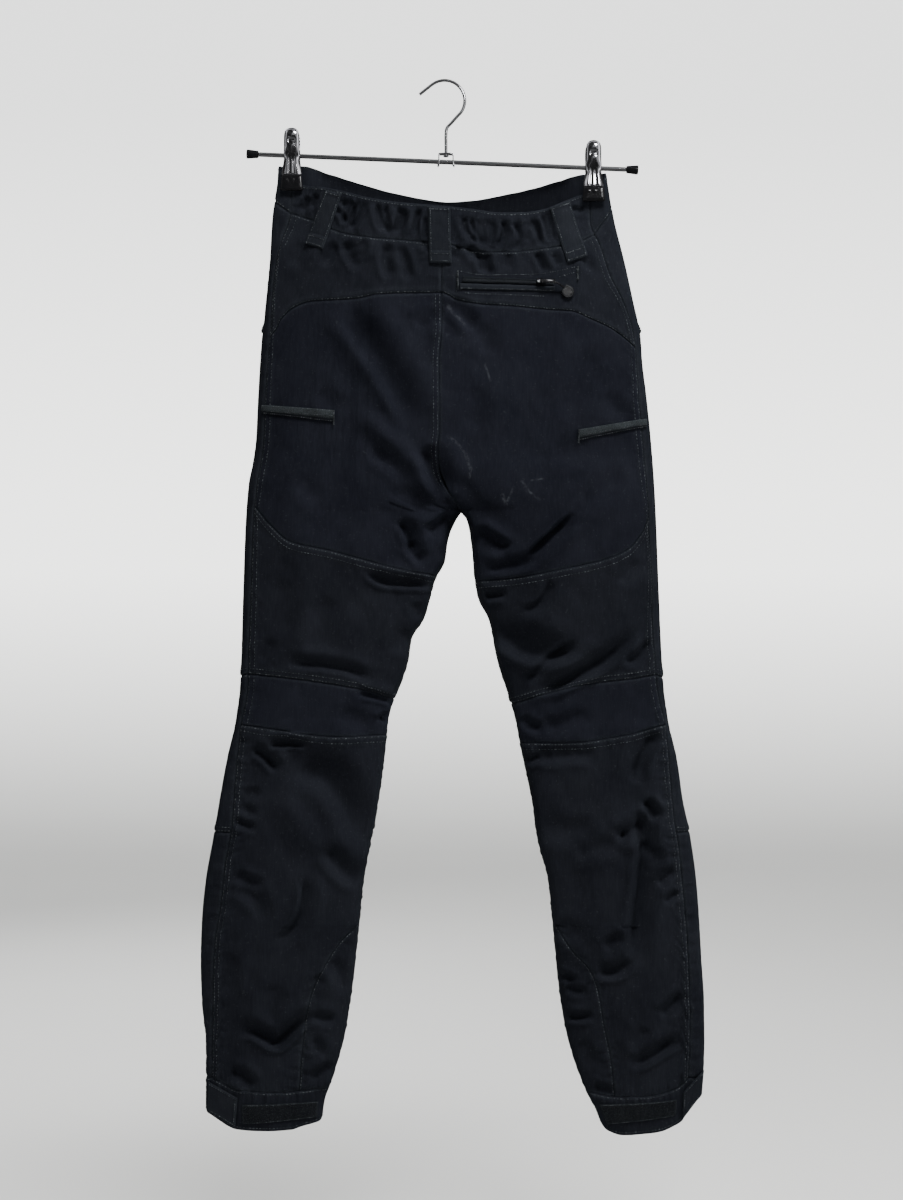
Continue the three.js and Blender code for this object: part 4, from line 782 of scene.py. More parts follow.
class Wire:
    """A socket of a graph. Sums and products of wires and numbers add the maths nodes."""

    def __init__(self, graph, socket):
        self.graph, self.socket = graph, socket

    def maths(self, operation, first, second=0.0):
        return self.graph.node("ShaderNodeMath", {"operation": operation}, {0: first, 1: second})

    def __add__(self, other):
        return self.maths("ADD", self, other)

    def __sub__(self, other):
        return self.maths("SUBTRACT", self, other)

    def __rsub__(self, other):
        return self.maths("SUBTRACT", other, self)

    def __mul__(self, other):
        return self.maths("MULTIPLY", self, other)

    __radd__ = __add__
    __rmul__ = __mul__

    def sine(self):
        return self.maths("SINE", self)

    def larger(self, other):
        return self.maths("MAXIMUM", self, other)

    def size(self):
        return self.maths("ABSOLUTE", self)

    def clamped(self):
        return self.graph.node("ShaderNodeClamp", {}, {"Value": self})


class Graph:
    """A node tree that is built from wires"""

    def __init__(self, tree):
        self.tree = tree

    def node(self, kind, settings=None, sockets=None, output=0):
        node = self.tree.nodes.new(kind)
        for key, value in (settings or {}).items():
            setattr(node, key, value)
        for key, value in (sockets or {}).items():
            if isinstance(value, Wire):
                self.tree.links.new(value.socket, node.inputs[key])
            else:
                node.inputs[key].default_value = value
        return Wire(self, node.outputs[output])

    def parts(self, vector, wanted=(0, 1, 2)):
        """The x, y and z of a vector, or those that are wanted"""
        return [self.node("ShaderNodeSeparateXYZ", {}, {"Vector": vector}, part) for part in wanted]


class Finish(Graph):
    """A material and its nodes"""

    def __init__(self, name, **constants):
        self.material = bpy.data.materials.new(name)
        self.material.use_nodes = True
        super().__init__(self.material.node_tree)
        self.shader = self.tree.nodes["Principled BSDF"]
        for key, value in constants.items():
            self.shader.inputs[key.replace("_", " ").title().replace("Ior", "IOR")].default_value = value

    def feed(self, key, wire):
        self.tree.links.new(wire.socket, self.shader.inputs[key])

    def place(self):
        return self.node("ShaderNodeTexCoord", output="Object")

    def noise(self, scale, detail=2.0, stretch=(1, 1, 1)):
        """Noise of that many blobs to a metre"""
        place = self.node("ShaderNodeMapping", {}, {"Vector": self.place(), "Scale": stretch})
        sockets = {"Vector": place, "Scale": scale, "Detail": detail}
        return self.node("ShaderNodeTexNoise", {}, sockets, output="Fac")

    def along_cloth(self):
        """Distances across and down the piece, in metres"""
        return self.parts(self.node("ShaderNodeUVMap", {"uv_map": "UVMap"}), (0, 1))

    def mark(self, name):
        return self.node("ShaderNodeAttribute", {"attribute_name": name}, output="Fac")

    def tint(self, share, first, second):
        """From one colour to another by a share"""
        sockets = {0: share, 6: first, 7: second}
        return self.node("ShaderNodeMix", {"data_type": "RGBA"}, sockets, output=2)

    def bump(self, height, distance, strength=1.0):
        sockets = {"Height": height, "Distance": distance, "Strength": strength}
        self.feed("Normal", self.node("ShaderNodeBump", {}, sockets))


def shade(red, green, blue):
    return (red, green, blue, 1.0)


def ramped(wire, low, high):
    """0 below low, 1 above high"""
    return ((wire - low) * (1 / (high - low))).clamped()


def close_to(wire, middle, reach):
    """1 at the middle, 0 where it is as far off as the reach"""
    return (1 - (wire - middle).size() * (1 / reach)).clamped()


# Whitish chafe marks on the seat: x1, z1, x2, z2, half width
CHAFE = [
    (2, -375, 13, -384, 1.2), (13, -384, 20, -393, 0.9), (21, -395, 25.6, -409, 1.5),
    (25.6, -409, 24.5, -418, 1.0), (58.5, -436, 62, -446, 1.4), (62, -446, 70, -428, 1.0),
    (78.5, -423, 84, -431, 1.6), (84, -431, 97, -441, 0.9), (3, -241, 11, -250, 1.8),
    (11, -250, 18.5, -259, 1.3), (88, -421, 100, -419, 0.8), (40, -300, 46, -318, 0.9),
]


def chafe_on(finish):
    """Worn places near the drawn marks, broken up by noise"""
    x, y, z = finish.parts(finish.place())
    total = 0.0
    for x1, z1, x2, z2, width in CHAFE:
        dx, dz = (x2 - x1) * MM, (z2 - z1) * MM
        px, pz = x - x1 * MM, z - z1 * MM
        along = ((px * dx + pz * dz) * (1 / (dx * dx + dz * dz))).clamped()
        ox, oz = px - along * dx, pz - along * dz
        near = 1 - ((ox * ox + oz * oz) * (1 / (1.7 * width * MM) ** 2)).clamped()
        total = near + total
    on_back = ramped(y * -1, 0.004, 0.01)
    return total.clamped() * ramped(finish.noise(260, 4), 0.38, 0.66) * on_back


def cloth_finish(name, dark, light, weave, chafed=False):
    """Near-black cloth: two tones, a fine speckle, a painted highlight along its seams and piece edges, and
    its weave
    """
    finish = Finish(name, specular_ior_level=0.015)
    across, down = finish.along_cloth()
    tone = ramped(finish.noise(22, 3), 0.32, 0.7)
    speckle = ramped(finish.noise(1500, 3), 0.42, 0.68)
    streaks = ramped(finish.noise(700, 2, (1, 1, 0.1)), 0.4, 0.66)
    mixed = tone * 0.45 + speckle * 0.3 + streaks * 0.35
    colour = finish.tint(mixed.clamped(), shade(*dark), shade(*light))
    lint = ramped(finish.noise(430, 2), 0.64, 0.74)
    colour = finish.tint((lint * 0.3).clamped(), colour, shade(0.028, 0.031, 0.034))
    # Painted highlight: the cloth is made paler along its seams and along the edges of laid pieces
    seam_sheen = finish.mark("wear_and_sheen") * ramped(finish.noise(700, 3), 0.36, 0.64)
    colour = finish.tint((seam_sheen * 0.4).clamped(), colour, shade(0.018, 0.021, 0.024))
    if chafed:
        colour = finish.tint((chafe_on(finish) * 0.3).clamped(), colour, shade(0.060, 0.064, 0.072))
    finish.feed("Base Color", colour)
    finish.feed("Roughness", 0.80 + finish.noise(60, 2) * 0.12)
    turn = 2 * math.pi / 0.0007
    if weave == "plain":
        threads = (across * turn).sine() * (down * turn).sine()
    else:
        threads = ((across + down * 1.6) * turn).sine() + (across * (turn * 0.5)).sine() * 0.3
    folds = finish.noise(24, 3, (1, 1, 0.7)) - 0.5
    wrinkles = folds.larger(folds * -1) * 11 + finish.noise(70, 2, (1, 1, 0.6)) * 4.0
    grain = threads * 0.5 + finish.noise(900, 3) * 1.6 + finish.noise(160, 2) * 2.0
    finish.bump(grain + wrinkles, 0.0001, 1.0)
    return finish.material


def tape_finish(name, dark, light):
    finish = Finish(name, specular_ior_level=0.06)
    across, down = finish.along_cloth()
    rib = (down * (2 * math.pi / 0.0009)).sine() * (across * (2 * math.pi / 0.0009)).sine()
    speckle = ramped(finish.noise(1100, 2), 0.4, 0.7)
    band = finish.tint(speckle, shade(*dark), shade(*light))
    finish.feed("Base Color", finish.tint(finish.mark("wear_and_sheen").clamped(), band, shade(0.0036, 0.0041, 0.0054)))
    finish.feed("Roughness", 0.52 + finish.noise(300, 2) * 0.2)
    finish.bump(rib + finish.noise(800, 2), 0.00012, 0.8)
    return finish.material


def thread_finish(name, dark, light):
    finish = Finish(name, specular_ior_level=0.05)
    patchy = ramped(finish.noise(380, 2), 0.47, 0.66)
    finish.feed("Base Color", finish.tint(patchy, shade(*dark), shade(*light)))
    finish.feed("Roughness", 0.56 + patchy * 0.14)
    finish.bump(finish.noise(3000, 2), 0.00008, 0.6)
    return finish.material


def metal_finish(name, colour, rough, wear_and_sheen):
    finish = Finish(name, metallic=1.0)
    smudge = ramped(finish.noise(160, 3), 0.35, 0.75)
    finish.feed("Base Color", finish.tint(smudge * wear_and_sheen, shade(*colour), shade(*(c * 0.72 for c in colour))))
    finish.feed("Roughness", rough + smudge * 0.10)
    finish.bump(finish.noise(900, 2), 0.00003, 0.3)
    return finish.material


def dipped_finish():
    finish = Finish("black dip", specular_ior_level=0.32, coat_weight=0.16, coat_roughness=0.05)
    cloud = finish.noise(180, 2)
    finish.feed("Base Color", finish.tint(cloud, shade(0.0022, 0.0022, 0.0026), shade(0.0045, 0.0045, 0.005)))
    finish.feed("Roughness", 0.08 + cloud * 0.14)
    finish.bump(finish.noise(120, 2), 0.0004, 0.5)
    return finish.material


def moulded_finish(name, dark, light, rough):
    finish = Finish(name, specular_ior_level=0.5)
    cloud = ramped(finish.noise(500, 2), 0.35, 0.7)
    finish.feed("Base Color", finish.tint(cloud, shade(*dark), shade(*light)))
    finish.feed("Roughness", rough + cloud * 0.15)
    finish.bump(finish.noise(2500, 2), 0.00004, 0.5)
    return finish.material


CANVAS = cloth_finish("canvas", (0.0048, 0.0054, 0.0073), (0.0090, 0.0100, 0.0128), "plain")
STRETCH = cloth_finish(
    "stretch cloth", (0.0048, 0.0054, 0.0079), (0.0090, 0.0099, 0.0136), "twill", chafed=True)
TRIM = cloth_finish("trim", (0.0056, 0.0064, 0.0083), (0.0102, 0.0114, 0.0140), "plain")
FLEECE = cloth_finish("loop strip", (0.0042, 0.0048, 0.0060), (0.0094, 0.0105, 0.0120), "plain")
TAPE = tape_finish("zip tape", (0.0100, 0.0118, 0.0130), (0.0250, 0.0290, 0.0315))
DARK_TAPE = tape_finish("pocket zip tape", (0.0034, 0.0040, 0.0052), (0.0080, 0.0090, 0.0105))
PALE_TAPE = tape_finish("pocket zip coil", (0.012, 0.0135, 0.0155), (0.030, 0.033, 0.036))
THREAD = thread_finish("thread", (0.0075, 0.0088, 0.010), (0.070, 0.077, 0.082))
PALE_THREAD = thread_finish("bar thread", (0.012, 0.0135, 0.015), (0.05, 0.055, 0.06))
FUZZ = thread_finish("fuzz", (0.010, 0.011, 0.012), (0.024, 0.026, 0.028))
JAW_CHROME = metal_finish("jaw chrome", (0.80, 0.79, 0.83), 0.06, 0.15)
CHROME = metal_finish("chrome", (0.86, 0.86, 0.88), 0.05, 0.2)
SLIDER_METAL = metal_finish("slider metal", (0.05, 0.05, 0.055), 0.16, 0.5)
BRIGHT_METAL = metal_finish("bright metal", (0.80, 0.80, 0.82), 0.38, 0.3)
DIPPED = dipped_finish()
RIM_RUBBER = moulded_finish("pull rim", (0.008, 0.009, 0.010), (0.018, 0.020, 0.022), 0.3)
BUTTON_PLASTIC = moulded_finish("button", (0.008, 0.008, 0.009), (0.014, 0.015, 0.016), 0.3)
RUBBER = moulded_finish("pull rubber", (0.0025, 0.0025, 0.003), (0.005, 0.005, 0.0056), 0.14)


class Threadwork:
    """Many small spindle-shaped bodies, such as stitches or zip teeth, gathered into one mesh"""

    FACES = np.array(
        [[0, 1 + k, 1 + (k + 1) % 4] for k in range(4)]
        + [[1 + k, 5 + k, 5 + (k + 1) % 4] for k in range(4)]
        + [[1 + k, 5 + (k + 1) % 4, 1 + (k + 1) % 4] for k in range(4)]
        + [[9, 5 + (k + 1) % 4, 5 + k] for k in range(4)])

    def __init__(self):
        self.points = []

    def add(self, centres, along, out, length, width, height):
        side = np.cross(along, out)
        ends = 0.5 * length * along
        points = [centres - ends - 0.3 * height * out]
        for end in (-0.62, 0.62):
            for s, h in ((1, 0), (0, 1), (-1, 0), (0, -1)):
                points.append(centres + end * ends + s * 0.5 * width * side + h * height * out)
        points.append(centres + ends - 0.3 * height * out)
        self.points.append(np.stack(points, 1).reshape(-1, 3))

    @staticmethod
    def spread(line, out, pitch, margin):
        """Centres, headings and facings a pitch apart along a line"""
        run = np.concatenate([[0], np.cumsum(np.linalg.norm(np.diff(line, axis=0), axis=1))])
        places = np.arange(margin + pitch / 2, run[-1] - margin, pitch)

        def at(values, where):
            return np.stack([np.interp(where, run, values[:, k]) for k in range(3)], 1)

        along, facing = at(line, places + 0.5) - at(line, places - 0.5), at(out, places)
        lengths = [np.linalg.norm(each, axis=1, keepdims=True) for each in (along, facing)]
        return at(line, places), along / lengths[0], facing / lengths[1]

    def row(self, line, out, pitch=3.5, length=2.5, width=0.6, height=0.3, margin=1.2):
        """Stitches end to end along a line on the cloth"""
        centres, along, facing = self.spread(line, out, pitch, margin)
        self.add(centres + 0.06 * facing, along, facing, length, width, height)

    def teeth(self, line, out, pitch, length, width, height, offset=0.0, turned=0.0):
        """Bodies across a line, side by side"""
        centres, along, facing = self.spread(line, out, pitch, 0)
        across = np.cross(along, facing)
        self.add(centres + offset * across, across + turned * along, facing, length, width, height)

    def made(self, name, finish, body="garment", slot=None, nodes=()):
        points = np.concatenate(self.points) * MM
        count = len(points) // 10
        faces = (self.FACES[None] + 10 * np.arange(count)[:, None, None]).reshape(-1, 3)
        mesh = bpy.data.meshes.new(name)
        mesh.vertices.add(len(points))
        mesh.vertices.foreach_set("co", points.ravel())
        mesh.loops.add(faces.size)
        mesh.loops.foreach_set("vertex_index", faces.ravel().astype(np.int32))
        mesh.polygons.add(len(faces))
        mesh.polygons.foreach_set("loop_start", np.arange(0, faces.size, 3, dtype=np.int32))
        mesh.update(calc_edges=True)
        mesh.validate()
        piece = bpy.data.objects.new(name, mesh)
        bpy.context.scene.collection.objects.link(piece)
        mesh.shade_smooth()
        return dress(piece, body, finish, nodes)


def edge_line(points, normals, edge, distance):
    """The line on a piece at a distance from one of its edges"""
    if edge in ("outer", "inner"):
        points, normals = points.swapaxes(0, 1), normals.swapaxes(0, 1)
    if edge in ("bottom", "inner"):
        points, normals = points[::-1], normals[::-1]
    run = runs_along(points, 0)
    line, facing = [], []
    for i in range(points.shape[1]):
        k = int(np.clip(np.searchsorted(run[:, i], distance), 1, len(run) - 1))
        f = (distance - run[k - 1, i]) / max(run[k, i] - run[k - 1, i], 1e-6)
        line.append(mix(points[k - 1, i], points[k, i], min(f, 1)))
        facing.append(normals[k, i])
    return np.array(line), np.array(facing)


# Each piece at its top, bottom, outer and inner edge: sinking, width of the turned-in cloth, pucker
SEAM_EDGES = ("top", "bottom", "outer", "inner")
SEAMS = {
    "yoke": [(0.9, 0, 0.2), (0.9, 5.5, 0.4), (0.9, 8, 0.3), (0.8, 0, 0.2)],
    "seat": [(0.9, 0, 0.15), (0.9, 0, 0.25), (0.9, 8, 0.3), (0.8, 0, 0.3)],
    "thigh_back": [(0.9, 8, 0.3), (0.9, 7, 0.25), (0.9, 8, 0.4), (0.7, 0, 0.2)],
    "knee_back": [(0.9, 0, 0.2), (0.9, 0, 0.25), (0.9, 8, 0.35), (0.7, 0, 0.25)],
    "calf_back": [(0.9, 8, 0.45), (0.9, 0, 0.5), (0.9, 7, 0.85), (0.7, 0, 0.45)],
    "ankle_patch": [None, (0.9, 0, 0.5), (0.9, 0, 0.75), (0.7, 0, 0.3)],
    "front_thigh": [(0.9, 0, 0.2), (0.9, 7, 0.3), (0.9, 0, 0.3), (0.8, 6, 0.25)],
    "front_knee": [(0.9, 0, 0.3), (0.9, 6, 0.3), (0.9, 0, 0.5), (0.7, 0, 0.2)],
    "front_shin": [(0.9, 0, 0.3), (0.9, 0, 0.5), (0.9, 0, 0.8), (0.7, 0, 0.3)],
}
CENTRE_SEAM_LEFT = (0.9, 8, 0.3)

# Topstitching: piece, its edge, distances from it
TOPSTITCHING = [
    ("yoke", "bottom", (1.9,)), ("yoke", "top", (2.0,)), ("yoke", "outer", (1.8, 7.2)),
    ("seat", "outer", (1.8, 7.2)), ("thigh_back", "top", (2.0, 7.4)), ("thigh_back", "bottom", (2.0, 6.4)),
    ("thigh_back", "outer", (1.8, 7.2)), ("knee_back", "outer", (1.8, 7.2)),
    ("calf_back", "top", (2.0, 7.4)), ("calf_back", "outer", (1.8, 6.2)),
    ("ankle_patch", "outer", (1.5,)), ("front_thigh", "bottom", (2.0, 6.4)),
    ("front_thigh", "inner", (1.8, 6.4)), ("front_knee", "bottom", (2.0, 5.8)), ("front_knee", "top", (2.0,)),
]
STRETCH_PIECES = ("seat", "knee_back")

# Key rows of the waistband and the hems, and the mesh lines between them
BAND_ROWS, BAND_LINES = ("band_top", "waist"), 40
HEM_ROWS, HEM_LINES = ("hem_top", "hem_bottom"), 34
stitching = {region: Threadwork() for region in ("waist_and_seat", "left_leg", "right_leg")}


def build_half(half):
    back, front = back_columns(half, BACK_STEP), front_columns(half, FRONT_STEP)
    calf, ankle = calf_columns(half, BACK_STEP), ankle_columns(half, BACK_STEP)
    cuts = {
        "yoke": (("waist", "yoke"), (back,), BACK_STEP),
        "seat": (("yoke", "fork", "thigh"), (back, back), BACK_STEP),
        "thigh_back": (("thigh", "knee_top"), (back,), BACK_STEP),
        "knee_back": (("knee_top", "knee_bottom"), (back,), BACK_STEP),
        "calf_back": (("knee_bottom", "shin", "ankle", "hem_top"), (back, back, calf), BACK_STEP),
        "ankle_patch": (("ankle", "hem_top"), (ankle,), BACK_STEP),
        "front_thigh": (("waist", "yoke", "fork", "thigh", "knee_top"), (front,) * 4, FRONT_STEP),
        "front_knee": (("knee_top", "knee_bottom", "shin"), (front,) * 2, FRONT_STEP),
        "front_shin": (("shin", "ankle", "hem_top"), (front,) * 2, FRONT_STEP),
    }
    for name, (keys, columns, step) in cuts.items():
        points, normals = cloth_lines(half, keys, columns, step)
        seams = {edge: seam for edge, seam in zip(SEAM_EDGES, SEAMS[name]) if seam}
        if (name, half) == ("seat", "left"):
            seams["inner"] = CENTRE_SEAM_LEFT
        points, wear_and_sheen = seam_shape(points, normals, seams)
        stretch = name in STRETCH_PIECES
        make_sheet(f"{name}_{half}_cloth", f"{name}_{half}", points, normals, CLOTH_WALL,
                   STRETCH if stretch else CANVAS, wear_and_sheen)
        region = stitching["waist_and_seat" if name in ("yoke", "seat") else f"{half}_leg"]
        for piece, edge, distances in TOPSTITCHING:
            for distance in distances if piece == name else ():
                region.row(*edge_line(points, normals, edge, distance))
        if (name, half) == ("seat", "left"):
            stop = int(np.searchsorted(-points[:, -1, 2], 430))
            for distance in (2.4, 6.6):
                region.row(*edge_line(points[:stop], normals[:stop], "inner", distance))


def build_waistband():
    band = stitching["waist_and_seat"]
    lines = {}
    for half in HALVES:
        columns = (back_columns(half, BAND_STEP),)
        lines[half] = cloth_lines(half, BAND_ROWS, columns, BAND_STEP, drop=BAND_LINES)
    grids = zip(lines["left"], lines["right"])
    points, normals = (np.concatenate([left, right[:, ::-1][:, 1:]], 1) for left, right in grids)
    seams = {"top": (0.5, 0, 0.25), "bottom": (0.9, 0, 0.3), "outer": (0.8, 0, 0.2), "inner": (0.8, 0, 0.2)}
    points, wear_and_sheen = seam_shape(points, normals, seams)
    make_sheet("elastic_waistband", "waistband_back", points, normals, BAND_WALL, CANVAS, wear_and_sheen)
    band.row(*edge_line(points, normals, "top", 2.6))
    for half in HALVES:
        points, normals = cloth_lines(half, BAND_ROWS, (front_columns(half, FRONT_STEP),), FRONT_STEP)
        points, wear_and_sheen = seam_shape(points, normals, seams)
        make_sheet(f"front_waistband_{half}", f"waistband_front_{half}", points, normals, BAND_WALL,
                   CANVAS, wear_and_sheen)
        for edge in ("top", "bottom"):
            band.row(*edge_line(points, normals, edge, 2.6))


def build_hem(half):
    region = stitching[f"{half}_leg"]
    around = [calf_columns(half, BACK_STEP), ankle_columns(half, BACK_STEP), front_columns(half, FRONT_STEP)]
    parts = [cloth_lines(half, HEM_ROWS, (columns,), BACK_STEP, drop=HEM_LINES) for columns in around]
    points, normals = (
        np.concatenate([calf, ankle[:, 1:], front[:, ::-1][:, 1:]], 1) for calf, ankle, front in zip(*parts))
    seams = {"top": (0.9, 0, 0.4), "bottom": (0.6, 0, 0.25)}
    points, wear_and_sheen = seam_shape(points, normals, seams)
    points[:, -1] = points[:, 0]
    make_sheet(
        f"hem_{half}", f"hem_band_{half}", points, normals, CLOTH_WALL, CANVAS, wear_and_sheen, ring=True)
    region.row(*edge_line(points, normals, "top", 1.9))
    region.row(*edge_line(points, normals, "bottom", 3.0))


build_half("left")
build_half("right")
build_waistband()
build_hem("left")
build_hem("right")


# Pieces sewn onto the panels
def cloth_at(x, z, side, follow=True):
    """The cloth's surface at places on the back or the front"""
    both = []
    for half in HALVES:
        turn = turn_of(half, x, z) * (1 if side == "back" else -1)
        point, normal = form_point(half, turn, z), form_normal(half, turn, z)
        rise = relief(turn, x, z) if follow else 0 * x
        both.append((point + normal * rise[..., None], normal))
    on_left = np.where(z > FORK_Z, x < centre_at(z), x < 0)[..., None]
    return tuple(np.where(on_left, left, right) for left, right in zip(*both))


def corner_grid(corners, step):
    """Places between four corners, and the distances from the piece's left and top edges"""
    top_left, top_right, bottom_right, bottom_left = (np.array(corner, float) for corner in corners)
    width = (np.linalg.norm(top_right - top_left) + np.linalg.norm(bottom_right - bottom_left)) / 2
    height = (np.linalg.norm(bottom_left - top_left) + np.linalg.norm(bottom_right - top_right)) / 2
    u, v = spaced(width, step)[None, :, None], spaced(height, step)[:, None, None]
    place = mix(mix(top_left, top_right, u), mix(bottom_left, bottom_right, u), v)
    return place, width * u[..., 0], height * v[..., 0], width, height


def laid_rise(edge, lift=LIFT, wall=LAID_WALL):
    """How high a laid piece's skin stands off the cloth, at distances from its edge"""
    return lift + wall - 0.7 * np.exp(-(edge / 0.8) ** 2)


# A painted highlight along the rolled edge of a laid piece
def edge_sheen(edge):
    return np.exp(-((edge - 0.8) / 1.0) ** 2)


def lay(name, node, corners, step, finish, side="back", wall=LAID_WALL, lift=LIFT, follow=True,
        shape=None, worn=None):
    """A small piece laid on the cloth between four corners"""
    place, across, down, width, height = corner_grid(corners, step)
    points, normals = cloth_at(place[..., 0], place[..., 1], side, follow)
    edge = np.minimum(np.minimum(across, width - across), np.minimum(down, height - down))
    rise = laid_rise(edge, lift, wall)
    if shape:
        rise = rise + shape(across, down, width, height)
    points = points + normals * rise[..., None]
    wear_and_sheen = worn(across, down, width, height) if worn else edge_sheen(edge)
    make_sheet(name, node, points, normals, wall, finish, wear_and_sheen)
    return points, normals


def sewn(work, points, normals, edge, distances, **size):
    for distance in distances:
        work.row(*edge_line(points, normals, edge, distance), **size)


BELT_LOOPS = {
    "belt_loop_back_left": ("back", [(-125.5, -117), (-108, -122), (-127.5, -180), (-147, -173)]),
    "belt_loop_back_centre": ("back", [(-18.5, -136.5), (4.5, -137.5), (6, -196.5), (-17, -196)]),
    "belt_loop_back_right": ("back", [(107.6, -136), (128.5, -127), (147.5, -186), (126, -194.5)]),
    "belt_loop_front_left": ("front", [(-98, -104), (-78, -109), (-78, -166), (-98, -161)]),
    "belt_loop_front_right": ("front", [(70, -114), (90, -110), (90, -164), (70, -168)]),
}


def loop_shape(across, down, width, height):
    """The folded foot and head of a belt loop, and its soft crown"""
    foot = 0.9 * smooth_step(height - 13.0, height - 11.8, down)
    groove = -0.45 * np.exp(-((down - (height - 13.2)) / 0.9) ** 2)
    head = 0.5 * smooth_step(5.5, 4.0, down)
    crown = 0.5 * np.sin(np.pi * np.clip(across / width, 0, 1)) * smooth_step(0, 14, down)
    return foot + groove + head + crown + 0.12 * ripple(across, down, 14, 23)


def build_belt_loops():
    bars = stitching["waist_and_seat"]
    for node, (side, corners) in BELT_LOOPS.items():
        points, normals = lay(f"{node}_strap", node, corners, 1.5, TRIM, side, follow=False,
                              shape=loop_shape)
        sewn(bars, points, normals, "outer", (2.4,), pitch=2.6, length=2.1)
        sewn(bars, points, normals, "inner", (2.4,), pitch=2.6, length=2.1)
        sewn(bars, points, normals, "bottom", (2.2, 9.8), pitch=1.9, length=1.7, width=0.8)
        sewn(bars, points, normals, "top", (3.0,), pitch=1.9, length=1.7, width=0.8)


def groove_shape(across, down, width, height):
    """A slit along the middle of a zip's tape, where the two halves meet"""
    off = down - height * 0.5
    return -0.55 * np.exp(-(off / 0.7) ** 2) + 0.2 * np.exp(-(off / 2.2) ** 2)


def unworn(across, down, width, height):
    return 0 * across * down


# Width of the thigh zip's raised band
PALE_BAND = 7.6


def flap_shape(across, down, width, height):
    """The thigh zip's cover: a raised band with a slit below it and a low edge"""
    crown = 0.35 * np.sin(np.pi * np.clip(down / PALE_BAND, 0, 1))
    return crown - 0.9 * np.exp(-((down - PALE_BAND - 0.5) / 0.7) ** 2)


def below_band(across, down, width, height):
    return smooth_step(PALE_BAND - 0.4, PALE_BAND + 0.3, down) + 0 * across


THIGH_ZIPS = {
    "thigh_zip_left": [(-190.5, -341.5), (-115, -348), (-116, -360.5), (-191, -350.5)],
    "thigh_zip_right": [(137, -368), (207.5, -355.5), (208, -364.5), (137.5, -379.5)],
}


def build_thigh_zips():
    work = stitching["waist_and_seat"]
    for node, corners in THIGH_ZIPS.items():
        points, normals = lay(
            f"{node}_tape", node, corners, 0.9, TAPE, shape=flap_shape, worn=below_band)
        sewn(work, points, normals, "top", (1.0, 6.6), pitch=2.6, length=1.9, width=0.5)
        sewn(work, points, normals, "bottom", (1.0,), pitch=2.4, length=1.9, width=0.5)


def build_back_pocket():
    work = stitching["waist_and_seat"]
    zip_corners = [(17, -209.8), (112, -212.3), (112, -218.2), (17, -216.2)]
    points, normals = lay("back_pocket_zip_tape", "back_pocket_zip", zip_corners, 1.2, DARK_TAPE,
                          wall=1.2, shape=groove_shape, worn=unworn)
    coil = Threadwork()
    middle = points[len(points) // 2], normals[len(points) // 2]
    for offset in (-0.6, 0.6):
        coil.teeth(*middle, pitch=1.15, length=1.2, width=0.7, height=0.42, offset=offset, turned=0.3)
    coil.made("back_pocket_zip_coil", PALE_TAPE, slot="zip_tape")
    welt_corners = [(14, -217.2), (113, -219.2), (113, -224.5), (14, -223.5)]
    points, normals = lay("back_pocket_lip", "back_pocket_welt", welt_corners, 1.2, TRIM)
    sewn(work, points, normals, "bottom", (1.1,), pitch=2.5, length=2.0)
    for route in POCKET_STITCHES:
        line = dense(route)
        work.row(*cloth_at(line[:, 0], line[:, 1], "back"), pitch=2.6, length=2.0)


def dense(route, step=2.0):
    """Places along a route, a step apart"""
    line = rounded(route)
    run = np.concatenate([[0], np.cumsum(np.hypot(*np.diff(line, axis=0).T))])
    places = np.linspace(0, run[-1], max(2, round(run[-1] / step)))
    return np.stack([np.interp(places, run, line[:, k]) for k in (0, 1)], 1)


# Stitch rows of the back pocket: round its opening and down its bag
POCKET_STITCHES = [
    [(13.5, -204), (35, -208.3), (60, -207.4), (92, -206.5), (115, -203), (136, -197.5)],
    [(136, -197.5), (136.5, -213)],
    [(116, -209.5), (126, -206), (136, -203)],
    [(12, -204), (11, -226)],
    [(18, -227.2), (60, -228.4), (104, -229.6)],
    [(137.5, -197.5), (138, -213)],
]

HEM_TABS = {
    "hem_tab_left": [(-245.5, -1045), (-216, -1061), (-218.5, -1093), (-246, -1076)],
    "hem_tab_right": [(246.5, -1056), (266.5, -1034), (265, -1060), (245.5, -1084)],
}
LOOP_STRIPS = {
    "hem_loop_strip_left": [(-212, -1068), (-133, -1066), (-135, -1083), (-212, -1089)],
    "hem_loop_strip_right": [(160, -1069), (240, -1063), (239, -1080), (168, -1090)],
}


# Fibres on each loop strip
FUZZ_COUNT = 1500


